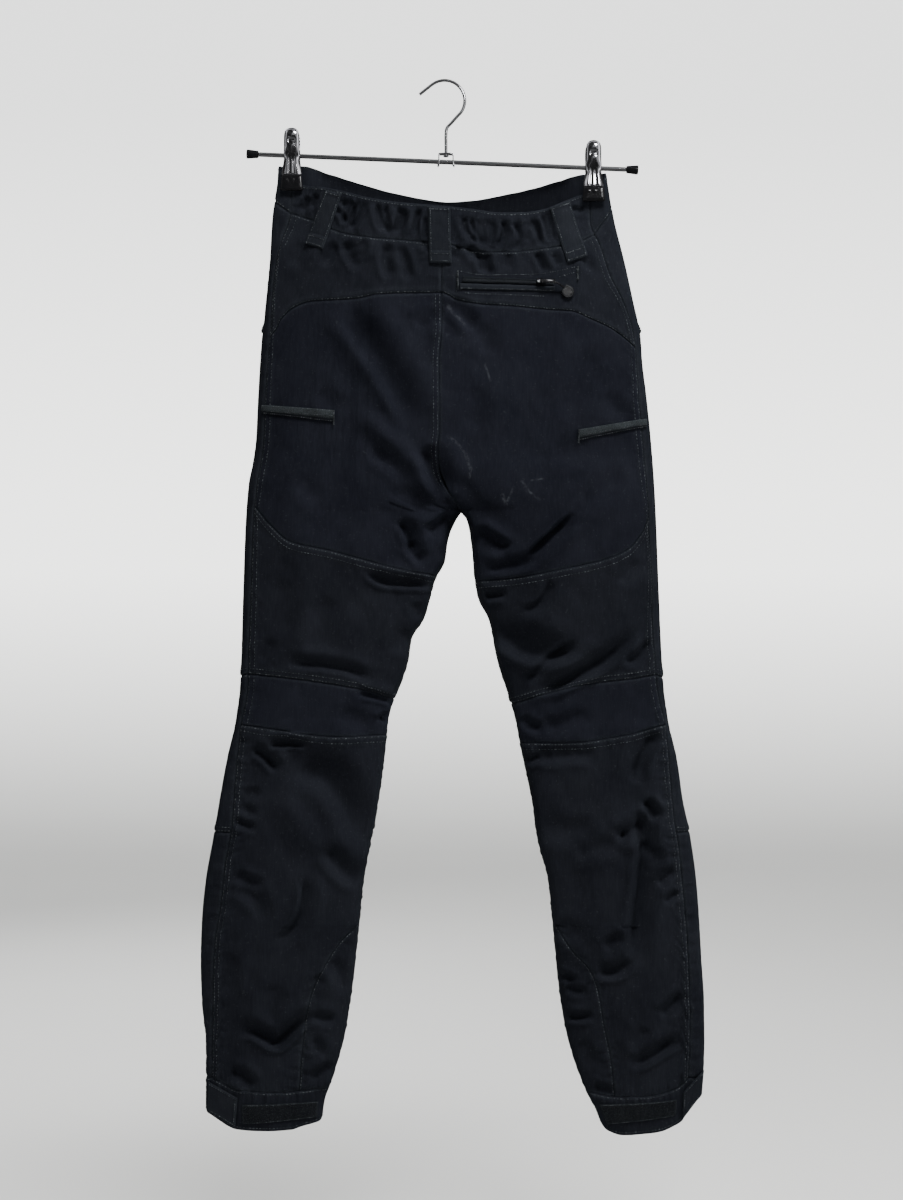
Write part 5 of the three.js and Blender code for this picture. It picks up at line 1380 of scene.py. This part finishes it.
def build_hem_tabs():
    fuzz = Threadwork()
    chance = np.random.default_rng(41)
    for node, corners in LOOP_STRIPS.items():
        points, normals = lay(f"{node}_pile", node, corners, 1.6, FLEECE, wall=1.2,
                              shape=lambda across, down, width, height: 0.25 * ripple(across, down, 4.5, 29))
        work = stitching["left_leg" if node.endswith("left") else "right_leg"]
        sewn(work, points, normals, "top", (1.2,), pitch=2.4, length=1.9)
        sewn(work, points, normals, "bottom", (1.2,), pitch=2.4, length=1.9)
        rows = chance.integers(2, len(points) - 3, FUZZ_COUNT)
        columns = chance.integers(2, points.shape[1] - 3, FUZZ_COUNT)
        shift = chance.uniform(-0.8, 0.8, (FUZZ_COUNT, 3))
        out = normals[rows, columns]
        lean = out * 0.6 + chance.uniform(-1, 1, (FUZZ_COUNT, 3))
        lean /= np.linalg.norm(lean, axis=1, keepdims=True)
        side = np.cross(lean, chance.uniform(-1, 1, (FUZZ_COUNT, 3)))
        side /= np.linalg.norm(side, axis=1, keepdims=True)
        fuzz.add(points[rows, columns] + shift * (1 - np.abs(out)) + 0.3 * out, lean, side, 1.5, 0.14, 0.07)
    fuzz.made("loop_strip_fuzz", FUZZ, slot="loop_fastener")
    for node, corners in HEM_TABS.items():
        points, normals = lay(f"{node}_flap", node, corners, 1.5, TRIM, wall=2.0, lift=0.6)
        work = stitching["left_leg" if node.endswith("left") else "right_leg"]
        for edge in ("top", "bottom", "outer" if node.endswith("right") else "inner"):
            sewn(work, points, normals, edge, (2.6,), pitch=2.6, length=2.1)


# The fly's edge: height, width
FLY = [(-162, 34), (-190, 34), (-218, 34), (-246, 34), (-270, 33), (-290, 29), (-306, 21), (-316, 11)]
FLY_TOP, FLY_FOOT = FLY[0][0], FLY[-1][0]
FLY_EDGE = 2.5


def build_fly():
    heights = np.linspace(FLY_TOP, FLY_FOOT, 70)
    widths = curve(FLY)(heights)
    u = spaced(34, 2.0)
    x = centre_at(heights)[:, None] - FLY_EDGE - widths[:, None] * (1 - u[None, :])
    z = np.broadcast_to(heights[:, None], x.shape)
    points, normals = cloth_at(x, z, "front")
    edge = np.minimum(widths[:, None] * np.minimum(u, 1 - u)[None, :], np.abs(z - FLY_FOOT))
    points = points + normals * laid_rise(edge)[..., None]
    make_sheet("fly_front", "fly_placket", points, normals, LAID_WALL, CANVAS, edge_sheen(edge))
    for distance in (2.0, 5.0):
        stitching["waist_and_seat"].row(*edge_line(points, normals, "outer", distance))


HAND_POCKET = {"top": (-168, -0.54), "foot": (-264, -0.03), "half_turn": 0.03}


def build_hand_pocket(half):
    v = np.linspace(0, 1, 60)[:, None]
    u = spaced(9, 1.0)[None, :]
    middle = mix(HAND_POCKET["top"][1], HAND_POCKET["foot"][1], v)
    turn = middle + HAND_POCKET["half_turn"] * (2 * u - 1)
    z = np.broadcast_to(mix(HAND_POCKET["top"][0], HAND_POCKET["foot"][0], v), turn.shape)
    points, normals = cloth_point(half, turn, z)
    edge = np.minimum(9 * np.minimum(u, 1 - u), 100 * np.minimum(v, 1 - v))
    points = points + normals * laid_rise(edge)[..., None]
    make_sheet(f"hand_pocket_{half}_binding", f"hand_pocket_edge_{half}", points, normals, LAID_WALL,
               TRIM, edge_sheen(edge))
    for distance in (1.6, 4.6):
        stitching["waist_and_seat"].row(*edge_line(points, normals, "outer", distance))


def bar_tack(work, x, top, bottom, width=2.0):
    """A short column of close stitches that closes the end of a zip or pocket"""
    heights = np.linspace(top, bottom, 12)
    line, out = cloth_at(np.full(12, x), heights, "back")
    work.teeth(line + 2.1 * out, out, pitch=0.62, length=width, width=0.6, height=0.4)


def build_bar_tacks():
    work = Threadwork()
    bar_tack(work, -115.8, -348.5, -363)
    bar_tack(work, 137.4, -368, -382)
    work.made("zip_bar_tacks", PALE_THREAD)
    plain = stitching["waist_and_seat"]
    bar_tack(plain, 136.9, -198, -213)
    bar_tack(plain, 12.2, -204, -224)


build_bar_tacks()
build_belt_loops()
build_thigh_zips()
build_back_pocket()
build_hem_tabs()
build_fly()
build_hand_pocket("left")
build_hand_pocket("right")
for region, work in stitching.items():
    work.made(f"topstitching_{region}", THREAD)


# Hard pieces, each modelled from a primitive in edit mode
def begin(kind, **settings):
    """A new primitive, all of it selected"""
    bpy.ops.object.select_all(action="DESELECT")
    getattr(bpy.ops.mesh, f"primitive_{kind}_add")(**settings)
    bpy.ops.object.mode_set(mode="EDIT")
    bpy.ops.mesh.select_all(action="SELECT")


def move(x, y, z):
    bpy.ops.transform.translate(value=(x * MM, y * MM, z * MM))


def resize(x, y, z, about=(0, 0, 0)):
    bpy.ops.transform.resize(value=(x, y, z), center_override=[c * MM for c in about])


def extrude(x, y, z):
    bpy.ops.mesh.extrude_region_move(TRANSFORM_OT_translate={"value": (x * MM, y * MM, z * MM)})


def pick(kind, test):
    """Selects the vertices, edges or faces that lie wholly where the test says"""
    bpy.ops.mesh.select_mode(type=kind)
    bpy.ops.mesh.select_all(action="DESELECT")
    mesh = bmesh.from_edit_mesh(bpy.context.object.data)
    for element in {"VERT": mesh.verts, "EDGE": mesh.edges, "FACE": mesh.faces}[kind]:
        element.select_set(all(test(*(v.co / MM)) for v in getattr(element, "verts", [element])))
    bmesh.update_edit_mesh(bpy.context.object.data)


def block(low, high, rounding=0.0, segments=2):
    """A box between two corners, its edges rounded"""
    size = [b - a for a, b in zip(low, high)]
    begin("cube", size=MM)
    resize(*size)
    move(*((a + b) / 2 for a, b in zip(low, high)))
    if rounding:
        bpy.ops.mesh.bevel(offset=rounding * MM, segments=segments, affect="EDGES")


def turned(profile, steps=32):
    """A body turned on Z from its profile of heights and radii"""
    (height, radius), *rest = profile
    begin("circle", vertices=steps, radius=radius * MM, fill_type="NGON")
    move(0, 0, height)
    for next_height, next_radius in rest:
        extrude(0, 0, next_height - height)
        resize(next_radius / radius, next_radius / radius, 1)
        height, radius = next_height, next_radius


def inset(thickness):
    bpy.ops.mesh.inset(thickness=thickness * MM)


def bevel_all(offset, segments):
    bpy.ops.mesh.select_all(action="SELECT")
    bpy.ops.mesh.bevel(offset=offset * MM, segments=segments, affect="EDGES")


def out_of_edit():
    """Ends edit mode, with the faces looking outwards, where the piece is still in it"""
    if bpy.context.object.mode == "EDIT":
        bpy.ops.mesh.select_all(action="SELECT")
        bpy.ops.mesh.normals_make_consistent(inside=False)
        bpy.ops.object.mode_set(mode="OBJECT")
    return bpy.context.object


def stood(place, toward):
    """Ends edit mode and stands the piece's Z along a direction at a place"""
    piece = out_of_edit()
    turn = Vector(toward).to_track_quat("Z", "Y").to_matrix()
    piece.matrix_world = Matrix.Translation(Vector(place) * MM) @ turn.to_4x4()
    bpy.ops.object.transform_apply()
    return piece


def done(name, finish, nodes, body="garment", angle=40):
    """Ends edit mode, shades the piece and gives it its name, finish and place in the part"""
    piece = out_of_edit()
    piece.name = piece.data.name = name
    bpy.ops.object.shade_smooth_by_angle(angle=math.radians(angle))
    return dress(piece, body, finish, nodes)


def tube(route, radius, smooth=True, closed=False, roundness=4):
    """A round wire along a route, made a mesh"""
    curve_data = bpy.data.curves.new("wire", "CURVE")
    curve_data.dimensions = "3D"
    curve_data.bevel_depth = radius * MM
    curve_data.bevel_resolution = roundness
    curve_data.use_fill_caps = True
    spline = curve_data.splines.new("BEZIER" if smooth else "POLY")
    points = spline.bezier_points if smooth else spline.points
    points.add(len(route) - 1)
    for point, place in zip(points, route):
        if smooth:
            point.co = Vector(place) * MM
            point.handle_left_type = point.handle_right_type = "AUTO"
        else:
            point.co = (*(c * MM for c in place), 1)
    spline.use_cyclic_u = closed
    wire = bpy.data.objects.new("wire", curve_data)
    bpy.context.scene.collection.objects.link(wire)
    bpy.ops.object.select_all(action="DESELECT")
    wire.select_set(True)
    bpy.context.view_layer.objects.active = wire
    bpy.ops.object.convert(target="MESH")
    return bpy.context.object


def joined(pieces):
    bpy.ops.object.select_all(action="DESELECT")
    for piece in pieces:
        piece.select_set(True)
    bpy.context.view_layer.objects.active = pieces[0]
    bpy.ops.object.join()
    return pieces[0]


# Hanger: its rod, hook, bracket and two clips
ROD = {"radius": 2.4, "left": (-196.5, -76.6), "right": (189.0, -92.4)}
ROD_SLOPE = (ROD["right"][1] - ROD["left"][1]) / (ROD["right"][0] - ROD["left"][0])
CAP = {"gap": 0.3, "profile": [(0, 2.9), (0.5, 3.8), (5, 4.2), (11.2, 4.8), (12.1, 4.6), (12.5, 3.9)]}
HOOK = {
    "wire": 1.6, "centre": (-1.5, -20), "arc": 21.2, "lead": [(-27.6, -13.5), (-20, -7.4)],
    "tail": [(5.6, -43.6), (1, -49), (0, -56), (0, -66)],
}
BRACKET = {"half": 6.9, "wall": 1.2, "depth": 4.5, "above": 7.9, "below": 4.7}
CLIPS = {
    "left": {"x": -161.5, "top": -50, "grip": -99.5, "end": -116},
    "right": {"x": 154.5, "top": -63, "grip": -112, "end": -127.5},
}
JAW = {"half": 10.9, "plate": 1.2, "waist": 7.6}

# Across a jaw, as shares of its half width: how far its head stands out and its flutes are sunk
JAW_RELIEF = [(0, 0.5, 0), (0.25, 0.4, 1.1), (0.5, 0.1, -0.3), (0.75, -0.4, 0.9), (1, -1.3, 1.9)]

# The two low bumps on a pad's outer face: across from its middle, and up
PAD_BUMPS_X, PAD_BUMP_Z = (-5.8, 0.8), 3.0


def rod_z(x):
    return ROD["left"][1] + ROD_SLOPE * (x - ROD["left"][0])


def build_rod():
    ends = [(x, 0, z) for x, z in (ROD["left"], ROD["right"])]
    along = Vector(ends[1]) - Vector(ends[0])
    length, radius = along.length, ROD["radius"]
    turned([(0, radius - 0.4), (0.4, radius), (length - 0.4, radius), (length, radius - 0.4)])
    stood(ends[0], along)
    done("chrome_rod", CHROME, ["hanger_rod"])
    for side, end, away in (("left", ends[0], -along), ("right", ends[1], along)):
        turned(CAP["profile"])
        stood(Vector(end) + away.normalized() * CAP["gap"], away)
        done(f"dipped_cap_{side}", DIPPED, [f"rod_cap_{side}"])


def build_hook():
    plate = rod_z(0) + BRACKET["above"]
    cx, cz = HOOK["centre"]
    angles = np.radians(np.arange(120, -51, -17))
    arc = [(cx + HOOK["arc"] * math.cos(a), cz + HOOK["arc"] * math.sin(a)) for a in angles]
    route = [*HOOK["lead"], *arc, *HOOK["tail"], (0, plate - BRACKET["wall"] - 0.6)]
    wire = tube([(x, 0, z) for x, z in route], HOOK["wire"])
    turned([(0, 2.2), (0.15, 2.6), (0.7, 3.0), (1.0, 2.9)], 20)
    head = stood((0, 0, plate - BRACKET["wall"] - 1.3), (0, 0, 1))
    joined([wire, head])
    done("hook_wire", CHROME, ["hook"])
    half, depth = BRACKET["half"], BRACKET["depth"]
    begin("grid", x_subdivisions=4, y_subdivisions=2, size=MM)
    resize(2 * half, 2 * depth, 1)
    move(0, 0, plate)
    for side in (-1, 1):
        pick("EDGE", lambda x, y, z: side * x > half - 0.1)
        for x, z in ((0, -1.6), (0, -6.6), (0, -2.6), (1.3, -1.4), (0.5, -0.2)):
            extrude(side * x, 0, z)
    bracket = out_of_edit()
    applied(bracket, "SOLIDIFY", thickness=BRACKET["wall"] * MM, offset=-1)
    applied(bracket, "BEVEL", width=0.35 * MM, segments=2)
    done("bracket", CHROME, ["hook_bracket"])


def build_jaw(name, clip, side):
    """A pressed jaw: domed head with a dimple, sunken middle, flutes down to its grip, an ear at each side"""
    node = f"clip_{name}_jaw_{side}"
    pad = [[c / MM for c in corner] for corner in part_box(f"clip_{name}_pad_{side}")]
    out = -1 if side == "back" else 1
    grip_y = abs(pad[0][1] + pad[1][1]) / 2 + JAW["plate"] / 2
    x0, top, grip, rod = clip["x"], clip["top"], clip["grip"], rod_z(clip["x"])
    middle = mix(grip + 7, rod - 4, 0.5)
    rows = [
        (grip + 3, grip_y, 10.9), (grip + 7, mix(grip_y, JAW["waist"], 0.35), 10.1),
        (middle, mix(grip_y, JAW["waist"], 0.7), 9.2), (rod - 4.4, JAW["waist"] + 0.1, 8.5),
        (rod, JAW["waist"] + 0.3, 8.4), (rod + 6, JAW["waist"] + 0.9, 8.4), (top - 16.2, 9.0, 8.4),
        (top - 10.8, 9.6, 8.3), (top - 7, 9.9, 8.1), (top - 4.2, 9.8, 7.4), (top - 2.2, 9.3, 6.2),
        (top - 0.8, 8.5, 4.4), (top - 0.1, 7.6, 2.0),
    ]
    begin("grid", x_subdivisions=8, y_subdivisions=1, size=MM)
    resize(2 * JAW["half"], 2.7, 1)
    bpy.ops.transform.rotate(value=math.pi / 2, orient_axis="X", center_override=(0, 0, 0))
    move(x0, out * grip_y, grip + 1.65)
    z, y, half = rows[0]
    for next_z, next_y, next_half in rows[1:]:
        pick("EDGE", lambda px, py, pz: pz > z - 0.05)
        extrude(0, out * (next_y - y), next_z - z)
        resize(next_half / half, 1, 1, (x0, 0, 0))
        z, y, half = next_z, next_y, next_half
    halves = [row[::2] for row in rows]
    for part, dome, flute in JAW_RELIEF:
        for low, high, lift in ((rod + 3, top, dome), (grip - 1, rod - 3, -flute)):
            pick("VERT", lambda px, py, pz: low < pz < high
                 and abs(abs(px - x0) / np.interp(pz, *zip(*halves)) - part) < 0.06)
            move(0, out * lift, 0)
    pick("FACE", lambda px, py, pz: abs(px - x0) < 4.4 and top - 16.4 < pz < top - 10.6)
    inset(0.9)
    move(0, -out * 0.9, 0)
    for edge in (-1, 1):
        drawn_in = 0 if side == "back" else 1.4
        pick("EDGE", lambda px, py, pz: edge * (px - x0) > 8.3 and rod - 4.5 < pz < rod + 6.1)
        extrude(-edge * drawn_in, -out * 1.6, 0)
        extrude(0, -out * 6.0, 0)
        extrude(0, -out * 3.6, 0)
    jaw = out_of_edit()
    facing = sum(p.area * p.normal.y for p in jaw.data.polygons)
    applied(jaw, "SOLIDIFY", thickness=JAW["plate"] * MM, offset=-1 if facing * out > 0 else 1)
    applied(jaw, "SUBSURF", levels=2, render_levels=2)
    done(f"{name}_clip_jaw_{side}", JAW_CHROME, [node], angle=60)
    build_pad(name, side, pad, out)


def build_pad(name, side, pad, out):
    """A jaw's dipped pad: a rounded block whose outer face is drawn in at its rim and has two low bumps"""
    block(*pad)
    x, y, z = ((a + b) / 2 for a, b in zip(*pad))
    pick("VERT", lambda px, py, pz: pz > z)
    resize(0.92, 0.86, 1, (x, y, z))
    pick("VERT", lambda px, py, pz: pz < z)
    resize(1.03, 1, 1, (x, y, z))
    pick("FACE", lambda px, py, pz: out * (py - y) > 0.4)
    inset(3.2)
    move(0, out * 0.5, 0.6)
    bevel_all(1.1, 3)
    wide, high = 0.97 * (pad[1][0] - pad[0][0]) / 2 - 3.3, (pad[1][2] - pad[0][2]) / 2 - 3.3
    pick("FACE", lambda px, py, pz: out * (py - y) > 0.4 and abs(px - x) < wide and abs(pz - z) < high)
    bpy.ops.mesh.subdivide(number_cuts=11)
    for across in PAD_BUMPS_X:
        for reach, lift in ((2.2, 0.12), (1.5, 0.14), (0.8, 0.1)):
            pick("VERT", lambda px, py, pz: out * (py - y) > 0.4
                 and math.hypot(px - x - across, pz - z - PAD_BUMP_Z) < reach)
            move(0, out * lift, 0)
    done(f"{name}_clip_pad_{side}", DIPPED, [f"clip_{name}_pad_{side}"])


def build_clip(name, clip):
    for side in ("back", "front"):
        build_jaw(name, clip, side)
    turns, steps, length, radius = 6.5, 16, 8.4, 3.9
    route = []
    for k in range(int(turns * steps) + 1):
        x, a = clip["x"] + length * (k / (turns * steps) - 0.5), 2 * math.pi * k / steps
        route.append((x, radius * math.cos(a), rod_z(x) + radius * math.sin(a)))
    tube(route, 0.6, smooth=False, roundness=2)
    done(f"{name}_clip_coil", CHROME, [f"clip_{name}_spring"], angle=60)


build_rod()
build_hook()
for name, clip in CLIPS.items():
    build_clip(name, clip)

# Button of the waistband
BUTTON = {"x": -22, "drop": 20, "hole": 0.85, "hole_at": 1.9}
BUTTON_PROFILE = [
    (0, 7.6), (0.4, 8.2), (1.4, 8.5), (2.4, 8.2), (2.9, 7.5), (3.0, 6.6), (2.7, 5.8), (2.1, 5.2), (1.9, 3.6),
]


def build_button():
    z = float(band_top_front_at(np.array(BUTTON["x"], float))) - BUTTON["drop"]
    (seat,), (facing,) = cloth_at(np.array([float(BUTTON["x"])]), np.array([z]), "front")
    turned(BUTTON_PROFILE, 40)
    bpy.ops.object.mode_set(mode="OBJECT")
    disc = bpy.context.object
    for x, y in ((-1, -1), (-1, 1), (1, -1), (1, 1)):
        begin("cylinder", vertices=14, radius=BUTTON["hole"] * MM, depth=0.01)
        move(x * BUTTON["hole_at"], y * BUTTON["hole_at"], 0)
        bpy.ops.object.mode_set(mode="OBJECT")
        cutter = bpy.context.object
        applied(disc, "BOOLEAN", object=cutter, operation="DIFFERENCE")
        bpy.data.objects.remove(cutter)
    bpy.ops.object.select_all(action="DESELECT")
    disc.select_set(True)
    bpy.context.view_layer.objects.active = disc
    bpy.ops.object.mode_set(mode="EDIT")
    stood(seat + LIFT * facing, facing)
    done("four_hole_button", BUTTON_PLASTIC, ["button"])
    thread = Threadwork()
    side = np.cross((0, 0, 1), facing)
    up = np.cross(facing, side)
    for x in (-1.9, 1.9):
        for shift in (-0.3, 0, 0.3):
            centre = seat + (LIFT + 2.2) * facing + (x + shift) * side
            thread.add(centre[None], up[None], facing[None], 4.6, 0.45, 0.4)
    thread.made("button_thread", THREAD)


# Slider of the back pocket's zip and its pull, in the slider's own frame: x along the zip, y up, z out
SLIDER_OUT = Vector((0.109, -0.994, 0)).normalized()
SLIDER_FOOT = Vector((99.3, -32.3, -214.8)) - 5.2 * SLIDER_OUT
BAR_HEIGHT = 5.2
PULL_END = {"x": 27.5, "y": -9.8, "half": 6.6, "height": 1.8}


def on_zip():
    """Ends edit mode and stands the piece on the zip"""
    piece = out_of_edit()
    up = Vector((0, 0, 1))
    frame_axes = Matrix((up.cross(SLIDER_OUT), up, SLIDER_OUT)).transposed()
    piece.matrix_world = Matrix.Translation(SLIDER_FOOT * MM) @ frame_axes.to_4x4()
    bpy.ops.object.transform_apply()
    return piece


def shield_outline(half):
    """A shield that stands on its round end, its point up and a little to the left"""
    h = half
    corners = [(0, 1.12 * h), (h, 0.2 * h), (0, -1.05 * h), (-h, 0.2 * h)]
    pulls = [(0.66 * h, 0.80 * h), (h, -1.0 * h), (-h, -1.0 * h), (-0.66 * h, 0.80 * h)]
    points = []
    for k in range(4):
        a, q, b = corners[k], pulls[k], corners[(k + 1) % 4]
        for t in np.arange(0, 1, 0.125):
            x, y = ((1 - t) ** 2 * a[i] + 2 * t * (1 - t) * q[i] + t * t * b[i] for i in (0, 1))
            points.append((0.98 * x - 0.17 * y, 0.17 * x + 0.98 * y))
    return points[::-1]


def build_slider():
    block((-5, -3.4, 0.2), (5, 3.4, 2.6))
    pick("VERT", lambda x, y, z: x > 4)
    resize(1, 0.72, 1)
    pick("FACE", lambda x, y, z: z > 2.5)
    inset(0.8)
    move(0, 0, 0.35)
    bevel_all(0.45, 3)
    body = on_zip()
    bridge = [(-2.9, 1.8), (-2.9, 4.4), (-2.1, BAR_HEIGHT), (2.1, BAR_HEIGHT), (2.9, 4.4), (2.9, 1.8)]
    tube([(0, y, z) for y, z in bridge], 0.62)
    joined([body, on_zip()])
    done("zip_slider", SLIDER_METAL, ["back_pocket_slider"])
    # A small bright metal block on top of the slider stands in for the slider's highlight: a painted
    # highlight, not a part of the slider
    block((-4.4, -1.3, 2.4), (-1.4, 1.3, 3.3))
    pick("VERT", lambda x, y, z: x < -3)
    resize(1, 0.7, 1)
    bevel_all(0.35, 2)
    on_zip()
    done("slider_highlight_block", BRIGHT_METAL, ["back_pocket_slider"])


def build_pull():
    begin("plane", size=MM)
    resize(0.75, 3.6, 1)
    move(1.5, 0, 0)
    bpy.ops.mesh.spin(steps=20, angle=2 * math.pi, center=(0, 0, 0), axis=(0, 1, 0))
    bpy.ops.mesh.select_all(action="SELECT")
    bpy.ops.mesh.remove_doubles(threshold=0.00001)
    move(0, 0, BAR_HEIGHT)
    eye = on_zip()
    block((1.4, -2.2, BAR_HEIGHT - 0.65), (13.5, 2.2, BAR_HEIGHT + 0.65))
    pick("VERT", lambda x, y, z: x > 12)
    resize(1, 0.7, 1, (13.5, 0, 0))
    bevel_all(0.5, 3)
    tab = on_zip()
    end_x, end_y, end_z = PULL_END["x"], PULL_END["y"], PULL_END["height"]
    neck_end = (end_x - 3, end_y + 4, end_z)
    tube([(12.5, -0.6, BAR_HEIGHT), (16.5, -1.6, 4.7), (20.5, -3.8, 3.2), neck_end], 1.1)
    neck = on_zip()
    outline = shield_outline(PULL_END["half"])
    begin("circle", vertices=len(outline), radius=PULL_END["half"] * MM, fill_type="NGON")
    mesh = bmesh.from_edit_mesh(bpy.context.object.data)
    for vertex, (x, y) in zip(mesh.verts, outline):
        vertex.co = ((x + end_x) * MM, (y + end_y) * MM, (end_z - 1.1) * MM)
    bmesh.update_edit_mesh(bpy.context.object.data)
    extrude(0, 0, 0.4)
    extrude(0, 0, 1.4)
    inset(0.5)
    move(0, 0, 0.4)
    inset(1.0)
    inset(0.3)
    move(0, 0, -0.5)
    end = on_zip()
    tube([(13.2, -2.9, BAR_HEIGHT), (13.2, 2.3, BAR_HEIGHT)], 0.9, smooth=False)
    joined([tab, eye, neck, end, on_zip()])
    done("moulded_zip_pull", RUBBER, ["back_pocket_zip_pull"], body="zip_pull")
    rim = [(0.84 * x + end_x, 0.84 * y + end_y, end_z + 0.95) for x, y in outline]
    tube(rim, 0.35, smooth=False, closed=True, roundness=2)
    on_zip()
    done("zip_pull_rim", RIM_RUBBER, ["back_pocket_zip_pull"], body="zip_pull")


build_button()
build_slider()
build_pull()


# Camera, floor, sweep and lights
def build_stage():
    """A plain pale floor that curves up far behind, beyond where the back is seen from"""
    bpy.ops.mesh.primitive_grid_add(x_subdivisions=2, y_subdivisions=60, size=2)
    floor = bpy.context.object
    floor.name = "studio_floor"
    for vertex in floor.data.vertices:
        run = (vertex.co.y + 1) * 6.6 - 5.0
        turn = min(max(run - SWEEP_START, 0) / SWEEP_RADIUS, math.pi / 2)
        rest = max(run - SWEEP_START - SWEEP_RADIUS * math.pi / 2, 0)
        y = min(run, SWEEP_START) + SWEEP_RADIUS * math.sin(turn)
        z = FLOOR_Z + SWEEP_RADIUS * (1 - math.cos(turn)) + rest
        vertex.co = (vertex.co.x * 7, y, z)
    bpy.ops.object.shade_smooth()
    finish = Finish("studio floor", roughness=0.9, emission_strength=1.0)
    (height,) = finish.parts(finish.place(), (2,))
    # The floor glows: painted light, dim at floor level and brightest up the sweep, and dark to glossy rays
    glow = finish.tint(ramped(height, FLOOR_Z, -0.45), shade(0.16, 0.162, 0.16), shade(2.75, 2.77, 2.72))
    glow = finish.tint(ramped(height, -0.2, 1.2), glow, shade(1.85, 1.87, 1.86))
    mirrored = finish.node("ShaderNodeLightPath", output="Is Glossy Ray")
    finish.feed("Emission Color", finish.tint(mirrored, glow, shade(0.03, 0.03, 0.03)))
    paint = finish.tint(finish.noise(3, 2), shade(0.49, 0.49, 0.48), shade(0.51, 0.51, 0.50))
    finish.feed("Base Color", finish.tint(mirrored, paint, shade(0.02, 0.02, 0.02)))
    floor.data.materials.append(finish.material)


def build_light():
    """Soft lights from above and the right. Metal mirrors a dark room: windows, a lamp and a bar overhead"""
    soft_light("key", (0.5, -1.05, 1.55), (0, 0, -0.75), (1.2, 0.4), 143)
    soft_light("side", (2.3, -0.55, -0.2), (0, 0, -0.6), (0.4, 1.0), 63)
    soft_light("fill", (-1.8, -1.6, -0.9), (0, 0, -0.7), (1.0, 1.0), 24)
    soft_light("front", (-0.9, 1.9, 0.4), (0, 0, -0.6), (1.0, 1.0), 50)
    world = bpy.data.worlds.new("studio")
    bpy.context.scene.world = world
    world.use_nodes = True
    room = Graph(world.node_tree)
    heading = room.node("ShaderNodeTexCoord", output="Generated")
    x, y, z = room.parts(heading)
    windows = close_to(x, 0.60, 0.13) + close_to(x, -0.60, 0.1) * 0.35
    windows = windows * (0.18 + ramped(y * -1, -0.1, 0.25) * 0.82)
    lamp = ramped(x * 0.30 - y * 0.88 + z * 0.37, 0.9925, 0.997)
    overhead = close_to(z, 0.84, 0.07)
    clouds = room.node("ShaderNodeTexNoise", {}, {"Vector": heading, "Scale": 3.0, "Detail": 1.0}, "Fac")
    mirrored = windows * 1.7 + lamp * 22 + overhead * 0.9 + ramped(clouds, 0.5, 0.75) * 0.35 + 0.012
    kinds = ("Diffuse", "Glossy")
    diffuse, glossy = (room.node("ShaderNodeLightPath", output=f"Is {kind} Ray") for kind in kinds)
    strength = mirrored * glossy + 0.13 * diffuse + 1.3 * (1 - glossy) * (1 - diffuse)
    background = world.node_tree.nodes["Background"]
    background.inputs["Color"].default_value = shade(0.98, 0.99, 1.0)
    world.node_tree.links.new(strength.socket, background.inputs["Strength"])


build_camera()
build_stage()
build_light()
